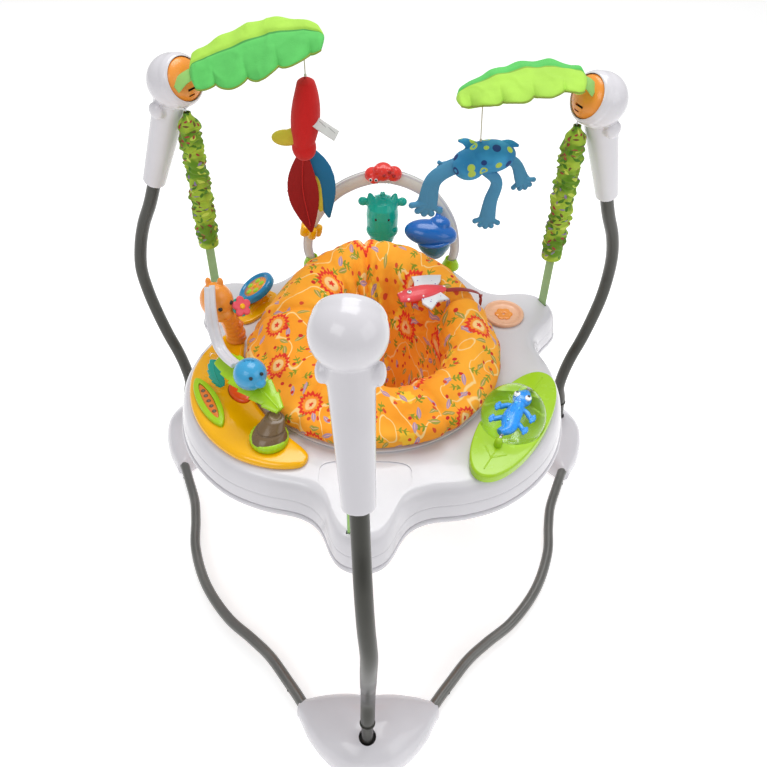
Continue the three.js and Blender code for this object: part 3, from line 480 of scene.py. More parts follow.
# ---- materials ----
class Paint:
    """A node material with a few shorthand calls."""

    def __init__(self, name, roughness, metallic=0.0, coat=0.0, sheen=0.0):
        self.material = bpy.data.materials.new(name)
        self.material.use_nodes = True
        self.nodes = self.material.node_tree.nodes
        self.links = self.material.node_tree.links
        self.shader = self.nodes["Principled BSDF"]
        self.shader.inputs["Roughness"].default_value = roughness
        self.shader.inputs["Metallic"].default_value = metallic
        self.shader.inputs["Coat Weight"].default_value = coat
        self.shader.inputs["Coat Roughness"].default_value = 0.05
        self.shader.inputs["Specular IOR Level"].default_value = 0.4
        self.shader.inputs["Sheen Weight"].default_value = sheen

    def put(self, socket, value):
        if isinstance(value, bpy.types.NodeSocket):
            self.links.new(value, socket)
        elif isinstance(value, (tuple, list)) and len(value) == 3 and socket.type == "RGBA":
            socket.default_value = (*value, 1.0)
        else:
            socket.default_value = value

    def node(self, kind, settings=None, **inputs):
        made = self.nodes.new(kind)
        for key, value in (settings or {}).items():
            setattr(made, key, value)
        for key, value in inputs.items():
            self.put(made.inputs[key.replace("_", " ")], value)
        return made

    def math(self, operation, a, b=0.0, c=0.0):
        made = self.nodes.new("ShaderNodeMath")
        made.operation = operation
        for socket, value in zip(made.inputs, (a, b, c)):
            self.put(socket, value)
        return made.outputs[0]

    def mix(self, factor, a, b):
        made = self.nodes.new("ShaderNodeMix")
        made.data_type = "RGBA"
        self.put(made.inputs[0], factor)
        self.put(made.inputs[6], a)
        self.put(made.inputs[7], b)
        return made.outputs[2]

    def step(self, value, low, high, start=0.0, end=1.0):
        made = self.nodes.new("ShaderNodeMapRange")
        made.interpolation_type = "SMOOTHSTEP"
        for socket, number in zip(made.inputs, (value, low, high, start, end)):
            self.put(socket, number)
        return made.outputs[0]

    def place(self):
        return self.node("ShaderNodeTexCoord").outputs["Object"]

    def noise(self, vector, scale, detail=3.0, roughness=0.5):
        return self.node("ShaderNodeTexNoise", Vector=vector, Scale=scale, Detail=detail,
                         Roughness=roughness).outputs["Fac"]

    def bump(self, *heights):
        """heights are (value, strength, distance in metres), laid over each other."""
        normal = None
        for value, strength, distance in heights:
            made = self.node("ShaderNodeBump", Height=value, Strength=strength, Distance=distance)
            if normal is not None:
                self.links.new(normal, made.inputs["Normal"])
            normal = made.outputs["Normal"]
        self.links.new(normal, self.shader.inputs["Normal"])

    def colour(self, value):
        self.put(self.shader.inputs["Base Color"], value)

    def rough(self, value):
        self.put(self.shader.inputs["Roughness"], value)


def darker(colour, amount):
    return tuple(c * amount for c in colour)


def plastic(name, colour, roughness=0.25, coat=0.35, grain=0.02):
    paint = Paint(name, roughness, coat=coat * 0.6)
    place = paint.place()
    cloud = paint.noise(place, 9.0, 4.0)
    fine = paint.noise(place, 900.0, 2.0)
    soft = paint.noise(place, 60.0, 3.0)
    paint.colour(paint.mix(paint.step(cloud, 0.3, 0.75), darker(colour, 0.93), colour))
    paint.rough(paint.step(soft, 0.3, 0.8, roughness * 0.8, roughness * 1.35))
    paint.bump((soft, grain * 2, 0.001), (fine, grain, 0.0002))
    return paint.material


def painted_metal(name, colour, roughness, metallic):
    paint = Paint(name, roughness, metallic=metallic, coat=0.1)
    place = paint.place()
    fleck = paint.noise(place, 1400.0, 2.0)
    cloud = paint.noise(place, 14.0, 3.0)
    base = paint.mix(paint.step(cloud, 0.3, 0.7), darker(colour, 0.82), colour)
    paint.colour(paint.mix(paint.step(fleck, 0.62, 0.8, 0.0, 0.5), base,
                           tuple(min(1, c * 1.5) for c in colour)))
    paint.rough(paint.step(cloud, 0.25, 0.8, roughness * 0.85, roughness * 1.2))
    paint.bump((fleck, 0.05, 0.0002))
    return paint.material


def weave_height(paint, place, scale):
    warp = paint.node("ShaderNodeTexWave", {"bands_direction": "X"}, Vector=place, Scale=scale,
                      Distortion=0.6)
    weft = paint.node("ShaderNodeTexWave", {"bands_direction": "Z"}, Vector=place, Scale=scale,
                      Distortion=0.6)
    third = paint.node("ShaderNodeTexWave", {"bands_direction": "Y"}, Vector=place, Scale=scale,
                       Distortion=0.6)
    return paint.math("ADD", paint.math("MULTIPLY", warp.outputs["Fac"], weft.outputs["Fac"]),
                      paint.math("MULTIPLY", third.outputs["Fac"], 0.5))


def fabric(name, colour, weave=320.0, sheen=0.06, wrinkle=0.25, roughness=0.85):
    paint = Paint(name, roughness, sheen=sheen)
    place = paint.place()
    threads = weave_height(paint, place, weave)
    folds = paint.noise(place, 38.0, 4.0, 0.6)
    cloud = paint.noise(place, 12.0, 3.0)
    base = paint.mix(paint.step(cloud, 0.3, 0.75), darker(colour, 0.86), colour)
    paint.colour(paint.mix(paint.step(threads, 0.1, 1.1, 0.0, 0.35), darker(colour, 0.75), base))
    paint.bump((folds, wrinkle, 0.004), (threads, 0.25, 0.0004))
    return paint.material


def clear_plastic(name):
    paint = Paint(name, 0.04, coat=0.4)
    paint.shader.inputs["Transmission Weight"].default_value = 1.0
    paint.shader.inputs["IOR"].default_value = 1.12
    place = paint.place()
    smear = paint.noise(place, 25.0, 3.0)
    paint.colour(paint.mix(paint.step(smear, 0.3, 0.8), (0.93, 0.97, 0.98), (1.0, 1.0, 1.0)))
    paint.rough(paint.step(smear, 0.35, 0.8, 0.02, 0.08))
    paint.bump((smear, 0.02, 0.001))
    return paint.material


WHITE = plastic("white_plastic", (0.72, 0.705, 0.745), 0.2, 0.5)
WHITE_WARM = plastic("white_arch_plastic", (0.80, 0.785, 0.74), 0.25, 0.4)
# Near-black plastic for small dark parts. It is also painted shade: the lining in each foot socket, the disc
# behind each face cap's slots and the ring in each sleeve mouth.
DARK_PART_AND_SHADE = plastic("dark_part_and_painted_shade", (0.02, 0.02, 0.02), 0.6, 0.0)
POST_METAL = painted_metal("post_metal", (0.06, 0.06, 0.052), 0.32, 0.45)
BASE_METAL = painted_metal("base_metal", (0.20, 0.20, 0.19), 0.34, 0.5)
STEEL = painted_metal("zinc_steel", (0.6, 0.6, 0.62), 0.25, 0.9)
ORANGE = plastic("orange_plastic", (0.93, 0.33, 0.045))
ORANGE_DEEP = plastic("orange_deep_plastic", (0.86, 0.22, 0.03))
YELLOW = plastic("yellow_plastic", (1.0, 0.50, 0.0), 0.16, 0.5)
LIME = plastic("lime_plastic", (0.40, 0.68, 0.01), 0.22, 0.4)
LIME_PALE = plastic("lime_pale_plastic", (0.40, 0.68, 0.02), 0.24, 0.4)
BROWN = plastic("brown_plastic", (0.17, 0.105, 0.05), 0.28, 0.5)
BROWN_PALE = plastic("brown_pale_plastic", (0.26, 0.175, 0.09), 0.3, 0.4)
TEAL = plastic("teal_plastic", (0.01, 0.40, 0.31), 0.22, 0.5)
BLUE = plastic("blue_plastic", (0.012, 0.14, 0.52), 0.2, 0.5)
BLUE_RING = plastic("blue_ring_plastic", (0.01, 0.24, 0.52), 0.2, 0.5)
BLUE_TEAL = plastic("blue_teal_plastic", (0.008, 0.15, 0.28), 0.22, 0.5)
SKY = plastic("sky_plastic", (0.05, 0.38, 0.70), 0.22, 0.4)
LIZARD_BLUE = plastic("lizard_plastic", (0.01, 0.24, 0.72), 0.25, 0.4)
RED = plastic("red_plastic", (0.80, 0.035, 0.025), 0.25, 0.4)
RED_ORANGE = plastic("red_orange_plastic", (0.92, 0.10, 0.015), 0.2, 0.5)
PINK = plastic("pink_plastic", (0.86, 0.08, 0.12), 0.35, 0.3)
PEACH = plastic("peach_plastic", (0.90, 0.52, 0.33), 0.3, 0.3)
BLACK = plastic("black_plastic", (0.01, 0.01, 0.012), 0.15, 0.6)
EYE_WHITE = plastic("eye_white_plastic", (0.85, 0.85, 0.85), 0.2, 0.5)
CLEAR = clear_plastic("clear_plastic")
CORD_FABRIC = fabric("cord_fabric", (0.72, 0.66, 0.52), 900.0, 0.1, 0.05)
RED_PLUSH = fabric("red_plush", (0.74, 0.005, 0.005), 420.0, 0.15)
DARK_RED = fabric("dark_red_fabric", (0.40, 0.004, 0.004), 420.0)
BLUE_CLOTH = fabric("blue_fabric", (0.01, 0.19, 0.40), 420.0)
YELLOW_CLOTH = fabric("yellow_fabric", (0.75, 0.62, 0.05), 420.0)
FROG_LEG = fabric("frog_leg_fabric", (0.09, 0.34, 0.58), 420.0)
TAG_CLOTH = fabric("tag_fabric", (0.82, 0.82, 0.80), 700.0, 0.1, 0.08)
STRAP_CLOTH = fabric("strap_webbing", (0.48, 0.78, 0.36), 500.0, 0.2, 0.1)
RIBBON = fabric("ribbon_fabric", (0.42, 0.02, 0.015), 600.0, 0.3, 0.1)


# ---- printed fabrics ----
class Print(Paint):
    """A woven cloth with motifs scattered over the mesh's own flat layout."""

    def vector(self, operation, a, b):
        made = self.nodes.new("ShaderNodeVectorMath")
        made.operation = operation
        self.put(made.inputs[0], a)
        self.put(made.inputs[1], b)
        return made.outputs[0]

    def cells(self, layout, scale, shift, randomness=0.7):
        """Position about the nearest cell's middle, in cells, and three random numbers for that cell."""
        moved = self.vector("ADD", layout, (shift, shift * 0.7, 0.0))
        cell = self.node("ShaderNodeTexVoronoi", {"voronoi_dimensions": "2D"}, Vector=moved, Scale=scale,
                         Randomness=randomness)
        local = self.vector("MULTIPLY", self.vector("SUBTRACT", moved, cell.outputs["Position"]),
                            (scale, scale, 0.0))
        place = self.node("ShaderNodeSeparateXYZ", Vector=local).outputs
        chance = self.node("ShaderNodeSeparateColor", Color=cell.outputs["Color"]).outputs
        return (place[0], place[1]), (chance[0], chance[1], chance[2])

    def turned(self, place, angle):
        x, y = place
        cosine = self.math("COSINE", angle)
        sine = self.math("SINE", angle)
        return (self.math("ADD", self.math("MULTIPLY", x, cosine), self.math("MULTIPLY", y, sine)),
                self.math("SUBTRACT", self.math("MULTIPLY", y, cosine), self.math("MULTIPLY", x, sine)))

    def disc(self, place, radius, petals=0, depth=0.0):
        x, y = place
        reach = self.math("SQRT",
                          self.math("ADD", self.math("MULTIPLY", x, x), self.math("MULTIPLY", y, y)))
        limit = radius
        if petals:
            wave = self.math("COSINE", self.math("MULTIPLY", self.math("ARCTAN2", y, x), petals))
            limit = self.math("MULTIPLY_ADD", wave, radius * depth, radius)
        return self.step(self.math("SUBTRACT", reach, limit), 0.012, -0.012)

    def lens(self, place, length, width, shift=(0.0, 0.0)):
        x = self.math("DIVIDE", self.math("SUBTRACT", place[0], shift[0]), length)
        y = self.math("ABSOLUTE", self.math("SUBTRACT", place[1], shift[1]))
        limit = self.math("MULTIPLY", self.math("SUBTRACT", 1.0, self.math("MULTIPLY", x, x)), width)
        return self.step(self.math("SUBTRACT", y, limit), 0.012, -0.012)

    def both(self, a, b):
        return self.math("MULTIPLY", a, b)

    def above(self, value, limit):
        return self.math("GREATER_THAN", value, limit)

    def lines(self, layout, scale, count, width):
        """Thin winding lines: where a slow noise passes evenly spaced levels."""
        level = self.math("FRACT", self.math("MULTIPLY", self.noise(layout, scale, 1.0), count))
        return self.step(self.math("ABSOLUTE", self.math("SUBTRACT", level, 0.5)), width, width * 0.4)

    def weave(self, layout, scale, folds_place=None, folds=0.2):
        place = self.node("ShaderNodeSeparateXYZ", Vector=layout).outputs
        warp = self.math("SINE", self.math("MULTIPLY", place[0], scale))
        weft = self.math("SINE", self.math("MULTIPLY", place[1], scale))
        threads = self.math("MULTIPLY", warp, weft)
        fine = self.noise(folds_place or layout, 60.0, 4.0, 0.6)
        self.bump((fine, folds, 0.003), (threads, 0.2, 0.0003))


def seat_cloth():
    paint = Print("printed_seat_cloth", 0.8, sheen=0.05)
    layout = paint.node("ShaderNodeUVMap", {"uv_map": "print"}).outputs[0]
    cloud = paint.noise(layout, 9.0, 2.0)
    colour = paint.mix(paint.step(cloud, 0.35, 0.7), (0.97, 0.34, 0.012), (0.98, 0.42, 0.025))
    patch, chance = paint.cells(layout, 17.0, 3.1)
    colour = paint.mix(paint.both(paint.disc(patch, 0.22, 7, 0.14), paint.above(chance[0], 0.82)),
                       colour, (0.98, 0.56, 0.03))
    colour = paint.mix(paint.lines(layout, 10.0, 6.0, 0.04), colour, (0.98, 0.66, 0.26))
    sprig, chance = paint.cells(layout, 37.0, 7.7)
    sprig = paint.turned(sprig, paint.math("MULTIPLY", chance[1], tau))
    stem = paint.lens(sprig, 0.42, 0.035)
    sides = [paint.lens(paint.turned((paint.math("SUBTRACT", sprig[0], x), sprig[1]), turn), 0.15, 0.055,
                        (0.12, 0.0))
             for x, turn in ((-0.2, 0.9), (-0.2, -0.9), (0.05, 0.9), (0.05, -0.9))]
    for side in sides:
        stem = paint.math("MAXIMUM", stem, side)
    colour = paint.mix(paint.both(stem, paint.above(chance[0], 0.42)), colour, (0.24, 0.30, 0.015))
    leaf, chance = paint.cells(layout, 42.0, 1.3)
    leaf = paint.turned(leaf, paint.math("MULTIPLY", chance[2], tau))
    blade = paint.both(paint.lens(leaf, 0.4, 0.15), paint.above(chance[0], 0.5))
    tone = paint.mix(paint.above(chance[1], 0.55), (0.44, 0.28, 0.42), (0.36, 0.33, 0.05))
    colour = paint.mix(blade, colour, tone)
    colour = paint.mix(paint.both(paint.lens(leaf, 0.36, 0.022), blade), colour, (0.93, 0.5, 0.3))
    dot, chance = paint.cells(layout, 54.0, 5.9, 0.9)
    tone = paint.mix(paint.above(chance[1], 0.5), (0.62, 0.02, 0.015), (0.70, 0.07, 0.02))
    colour = paint.mix(paint.both(paint.disc(dot, 0.16), paint.above(chance[0], 0.52)), colour, tone)
    rose, chance = paint.cells(layout, 11.5, 0.4, 0.6)
    shown = paint.above(chance[0], 0.4)
    colour = paint.mix(paint.both(paint.disc(rose, 0.225, 17, 0.1), shown), colour, (0.80, 0.035, 0.012))
    colour = paint.mix(paint.both(paint.disc(rose, 0.165, 17, 0.08), shown), colour, (0.95, 0.30, 0.02))
    colour = paint.mix(paint.both(paint.disc(rose, 0.115), shown), colour, (0.97, 0.62, 0.26))
    colour = paint.mix(paint.both(paint.disc(rose, 0.045, 5, 0.25), shown), colour, (0.80, 0.035, 0.012))
    paint.colour(colour)
    paint.weave(layout, 5200.0, paint.place(), 0.22)
    return paint.material


def cover_cloth():
    paint = Print("printed_cover_cloth", 0.75, sheen=0.05)
    layout = paint.node("ShaderNodeUVMap", {"uv_map": "print"}).outputs[0]
    cloud = paint.noise(layout, 22.0, 2.0)
    colour = paint.mix(paint.step(cloud, 0.4, 0.6), (0.13, 0.28, 0.01), (0.38, 0.54, 0.04))
    for scale, shift, limit, dark, pale in (
        (52.0, 1.7, 0.2, (0.07, 0.20, 0.01), (0.60, 0.72, 0.10)),
        (64.0, 4.1, 0.45, (0.16, 0.10, 0.02), (0.10, 0.24, 0.02)),
        (80.0, 8.3, 0.72, (0.38, 0.05, 0.04), (0.28, 0.20, 0.36)),
    ):
        leaf, chance = paint.cells(layout, scale, shift)
        leaf = paint.turned(leaf, paint.math("MULTIPLY", chance[2], tau))
        blade = paint.both(paint.lens(leaf, 0.42, 0.16), paint.above(chance[0], limit))
        colour = paint.mix(blade, colour, paint.mix(paint.above(chance[1], 0.5), dark, pale))
    paint.colour(colour)
    paint.weave(layout, 5200.0, paint.place(), 0.3)
    return paint.material


def frog_cloth():
    paint = Print("dotted_frog_cloth", 0.8, sheen=0.05)
    place = paint.place()
    cells = paint.node("ShaderNodeTexVoronoi", Vector=place, Scale=52.0, Randomness=0.6)
    chance = paint.node("ShaderNodeSeparateColor", Color=cells.outputs["Color"]).outputs
    dot = paint.step(cells.outputs["Distance"], 0.36, 0.32)
    ring = paint.step(cells.outputs["Distance"], 0.2, 0.16)
    cloud = paint.noise(place, 25.0, 2.0)
    base = paint.mix(paint.step(cloud, 0.35, 0.65), (0.015, 0.19, 0.42), (0.04, 0.31, 0.57))
    tone = paint.mix(paint.above(chance[0], 0.5), (0.006, 0.04, 0.18), (0.42, 0.56, 0.08))
    colour = paint.mix(dot, base, tone)
    colour = paint.mix(paint.both(ring, paint.above(chance[1], 0.6)), colour, (0.05, 0.33, 0.62))
    paint.colour(colour)
    threads = weave_height(paint, place, 420.0)
    paint.bump((paint.noise(place, 60.0, 4.0), 0.25, 0.003), (threads, 0.25, 0.0004))
    return paint.material


def leaf_cloth(name, near, far, edge):
    """near and far are the colours either side of the middle seam; the layout's second number runs across."""
    paint = Print(name, 0.78, sheen=0.05)
    layout = paint.node("ShaderNodeUVMap", {"uv_map": "print"}).outputs[0]
    across = paint.node("ShaderNodeSeparateXYZ", Vector=layout).outputs[1]
    place = paint.place()
    cloud = paint.noise(place, 20.0, 3.0)
    near_tone = paint.mix(paint.step(cloud, 0.3, 0.7), darker(near, 0.88), near)
    far_tone = paint.mix(paint.step(cloud, 0.3, 0.7), darker(far, 0.9), far)
    colour = paint.mix(paint.step(across, edge - 0.01, edge + 0.01), near_tone, far_tone)
    seam = paint.step(paint.math("ABSOLUTE", paint.math("SUBTRACT", across, edge)), 0.012, 0.028)
    paint.colour(paint.mix(seam, darker(near, 0.6), colour))
    threads = weave_height(paint, place, 420.0)
    paint.bump((paint.noise(place, 45.0, 4.0, 0.6), 0.3, 0.004), (threads, 0.2, 0.0003))
    return paint.material


def dotted_toy(name, base, dot_colour, scale):
    paint = Print(name, 0.4, coat=0.2)
    place = paint.place()
    cells = paint.node("ShaderNodeTexVoronoi", Vector=place, Scale=scale, Randomness=0.6)
    cloud = paint.noise(place, 30.0, 3.0)
    tone = paint.mix(paint.step(cloud, 0.3, 0.7), darker(base, 0.85), base)
    paint.colour(paint.mix(paint.step(cells.outputs["Distance"], 0.24, 0.18), tone, dot_colour))
    paint.bump((paint.noise(place, 300.0, 3.0), 0.1, 0.0005))
    return paint.material


SEAT_CLOTH = seat_cloth()
COVER_CLOTH = cover_cloth()
FROG_CLOTH = frog_cloth()
MINT = (0.11, 0.58, 0.12)
LIME_CLOTH = (0.42, 0.74, 0.08)
LEAF_LEFT_CLOTH = leaf_cloth("leaf_left_cloth", MINT, LIME_CLOTH, 0.66)
LEAF_RIGHT_CLOTH = leaf_cloth("leaf_right_cloth", LIME_CLOTH, MINT, 0.74)
LEAF_TRIM = fabric("leaf_trim", (0.30, 0.42, 0.05), 500.0)
TEETHER_PINK = dotted_toy("teether_pink", (0.85, 0.07, 0.09), (0.9, 0.85, 0.85), 95.0)
TEETHER_FIN = dotted_toy("teether_fin", (0.80, 0.80, 0.84), (0.16, 0.05, 0.38), 150.0)


# ---- camera and cords ----
def make_camera():
    azimuth, elevation, roll = (radians(a) for a in (CAMERA_AZIMUTH, CAMERA_ELEVATION, CAMERA_ROLL))
    back = Vector((sin(azimuth) * cos(elevation), -cos(azimuth) * cos(elevation),
                   sin(elevation)))
    level = Vector((cos(azimuth), sin(azimuth), 0.0))
    rise = back.cross(level)
    right = level * cos(roll) + rise * sin(roll)
    up = rise * cos(roll) - level * sin(roll)
    data = bpy.data.cameras.new("camera")
    data.lens = CAMERA_LENS
    data.sensor_width = 36.0
    data.shift_x = 0.0023
    camera = bpy.data.objects.new("camera", data)
    bpy.context.scene.collection.objects.link(camera)
    camera.matrix_world = Matrix.Translation(to_metres(CAMERA_PLACE)) @ Matrix((right, up,
                                                                                back)).transposed().to_4x4()
    bpy.context.scene.camera = camera


def hanging_cord(name, top, bottom, body):
    line = [Vector(top).lerp(Vector(bottom), k / 12) for k in range(13)]
    cord = make(name + "_line", bar([line[0], line[6], line[12]], 0.9, 10, 24), CORD_FABRIC, body, name)
    make(name + "_knot", blob(Vector(bottom) + Vector((0, 0, 2.5)), (2.1, 2.1, 2.4), 12, 8), CORD_FABRIC,
         body)


make_camera()
hanging_cord("parrot_cord", (-104, 178, 859), (-104, 182, 816), "parrot_line")
hanging_cord("frog_cord", (150, 146, 807), (154, 150, 737), "frog_line")


def eye_pair(name, centre, facing, apart, size, body, ringed=False, depth=0.45):
    """Two round eyes either side of a head's facing direction."""
    facing = Vector(facing).normalized()
    side = Vector((0, 0, 1)).cross(facing).normalized()
    for k, sign in enumerate((-1, 1)):
        place = Vector(centre) + side * (sign * apart)
        profile = [(-size, 0), (-size, size * 0.9), (0, size), (size * depth * 0.7, size * 0.75),
                   (size * depth, 0)]
        if ringed:
            wide = [(along, radius * 1.45) for along, radius in profile]
            make(f"{name}_white_{k}", spun(place - facing * (size * 0.3), facing, wide, 24), EYE_WHITE,
                 body)
        make(f"{name}_{k}", spun(place, facing, profile, 24), BLACK, body)


# ---- base: feet, floor tubes and uprights ----
def base_tube_points(start):
    first = [polar(r, start - offset, 25) for offset, r in BASE_TUBE_LINE]
    second = [polar(r, start - 120 + offset, 25) for offset, r in BASE_TUBE_LINE][::-1]
    return first + [polar(348, start - 60, 25)] + second


FOOT_OUTER = [(0, 500), (4, 496), (8, 478), (12, 452), (16, 424)]
FOOT_INNER = [(0, 378), (4, 376), (8, 378), (12, 385), (16, 396)]
FOOT_HEIGHT = [(0, 66), (5, 62), (10, 50), (16, 36)]


def make_foot(name, azimuth):
    rings = []
    for k in range(57):
        offset = -16 + 32 * k / 56
        end = abs(offset) / 16
        outer = smooth_look_up(FOOT_OUTER, abs(offset))
        inner = smooth_look_up(FOOT_INNER, abs(offset))
        close = 1 - 0.28 * ease(end, 0.93, 1.0)
        height = smooth_look_up(FOOT_HEIGHT, abs(offset)) * (1 - 0.1 * ease(end, 0.93, 1.0))
        half = (outer - inner) / 2 * close
        section = rounded([(half - 3, 0), (half, 4), (half, 0.45 * height), (0.86 * half, 0.76 * height),
                           (0.5 * half, 0.95 * height), (0, height), (-0.5 * half, 0.95 * height),
                           (-0.86 * half, 0.76 * height), (-half, 0.45 * height), (-half, 4),
                           (3 - half, 0)], 9, 4)
        rings.append([polar((outer + inner) / 2 + p.x, azimuth + offset, p.y) for p in section])
    low = post_point(azimuth, 455, 21)
    socket = rod(low, post_point(azimuth, 458, 92), 13.5)
    bolt_holes = [spun(polar(448, azimuth + offset, 0), (0, 0, 1), [(-2, 7), (6, 7)], 24)
                  for offset in (-6, 6)]
    foot = make("foot_" + name + "_shell", loft(rings), WHITE, None)
    carve(foot, socket, *bolt_holes)
    finish_piece(foot, WHITE, "frame", "foot_" + name, False)
    # A dark lining in the socket round the upright's foot: painted shade in the recess.
    make("foot_" + name + "_socket_painted_shade", spun(low, Vector((0.0, 0.0, 1.0)), [
        (3, 11.4), (3, 13.4), (30, 13.4), (33, 12.6), (33, 11.4)], 32), DARK_PART_AND_SHADE, "frame")


def make_base():
    for name, azimuth in POSTS.items():
        make_foot(name, azimuth)
        line = [post_point(azimuth, r, z) for r, z in UPRIGHT_LINE]
        make("upright_" + name + "_tube", bar(
            line, lambda share: 9 + 2 * ease(share, 0.11, 0.15), 32, 150), POST_METAL, "frame",
            "upright_" + name)
        make("upright_" + name + "_collar",
             spun(post_point(azimuth, 453, 103), polar(1, azimuth, 0) * -0.2 + Vector((0, 0, 1)), [
            (0, 10.2), (0.4, 11.6), (3.4, 11.9), (4, 10.8)], 32), POST_METAL, "frame")
    for name, start in BASE_TUBE_STARTS.items():
        make(name + "_tube", bar(base_tube_points(start), 9.2, 28, 160), BASE_METAL, "frame", name)
        for k, offset in enumerate((CLIP_ANGLE, 120 - CLIP_ANGLE)):
            place = polar(look_up(BASE_TUBE_LINE, CLIP_ANGLE), start - offset, 25)
            make(f"{name}_clip_{k}", spun(place, polar(1, start - offset, 0), [
                (7.8, 3.2), (9.6, 3.0), (10.4, 1.6)], 16), DARK_PART_AND_SHADE, "frame")


make_base()


# ---- post heads ----
def make_head(name, azimuth):
    centre = post_point(azimuth, *BALL_CENTRE)
    sleeve_end = post_point(azimuth, *SLEEVE_BOTTOM)
    facing = azimuth + look_up(UPRIGHT_TWIST, BALL_CENTRE[1]) + 180
    inward = polar(cos(radians(FACE_TILT)), facing, sin(radians(FACE_TILT)))
    sideways = Vector((0, 0, 1)).cross(inward).normalized()
    down = (sleeve_end - centre).normalized()
    hanger = polar(HANGER_RADIUS, azimuth + HANGER_TWIST[name], 0)
    shapes = [
        blob(centre, (40.5, 40.5, 39.5), 56, 32),
        bar([centre, sleeve_end], lambda share: 27 - 8.5 * share, 40, 24),
        spun(centre, inward, [(2, 30), (2, 36), (10, 38.5), (18, 37.5), (24, 34.5), (26, 32.4), (26, 20)],
             64),
    ]
    for sign in (-1, 1):
        shapes.append(bar([centre + down * 41 + sideways * (sign * 12),
                           centre + down * 41 + sideways * (sign * 36)],
                          lambda share: 13 * sqrt(clamp(1.02 - max(0, share - 0.7) ** 2 / 0.09)), 28, 20))
    shell = melt("post_housing_" + name + "_shell", shapes, 1.4, WHITE, None, (), 2)
    line = [post_point(azimuth, r, z) for r, z in UPRIGHT_LINE]
    hook = rod((hanger.x, hanger.y, 700), (hanger.x, hanger.y, 790), 4.2, 20)
    carve(shell, rod(centre + inward * 10, centre + inward * 60, 31.6, 64),
          bar(line[9:], 12.6, 32, 40), hook)
    finish_piece(shell, WHITE, "frame", "post_housing_" + name, False)
    face = make("post_face_" + name + "_cap", spun(centre, inward, [
        (10.3, 10), (10.3, 30.4), (12, 31.1), (22, 31.1), (25, 29.8), (28.4, 25.6), (31.6, 17.5), (33.3, 8),
        (33.6, 0)], 64),
        ORANGE, None)
    upward = inward.cross(sideways)
    slots = []
    for shift, rise, length, half in ((0, 15, 17, 2.5), (-3, 23, 11, 1.1)):
        place = centre + inward * 26 + sideways * shift + upward * -rise
        slots.append(bar([place - sideways * length / 2, place, place + sideways * length / 2],
                         (half, 8.0), 12, 6, inward))
    carve(face, hook, *slots)
    finish_piece(face, ORANGE, "frame", "post_face_" + name, False)
    # A dark disc inside the face cap that shows through its slots and hook hole: painted shade in the
    # openings.
    make("post_face_" + name + "_slot_painted_shade",
         spun(centre, inward, [(12, 4), (12, 28.6), (20, 28.6), (27, 19), (29, 6)], 40),
         DARK_PART_AND_SHADE, "frame")
    screw = centre + down * 66 + inward * 21.5
    make("post_housing_" + name + "_screw", spun(screw, inward, [(-3, 2.4), (0.6, 2.4), (0.9, 1.6)], 20),
         DARK_PART_AND_SHADE, "frame")
    for k, sign in enumerate((-1, 1)):
        make(f"post_housing_{name}_seam_{k}", bar([
            centre + down * 62 + sideways * (sign * 23.0), centre + down * 120 + sideways * (sign * 20.6),
            sleeve_end - down * 4 + sideways * (sign * 18.2)], 0.55, 8, 20), WHITE_WARM, "frame")
    # A dark ring inside the sleeve's lower end round the upright: painted shade in the gap.
    make("post_housing_" + name + "_mouth_painted_shade", spun(sleeve_end - down * 6, down, [
        (0, 12), (0, 18.3), (5.6, 17.8), (6, 14)], 40), DARK_PART_AND_SHADE, "frame")


for post_name, post_azimuth in POSTS.items():
    make_head(post_name, post_azimuth)


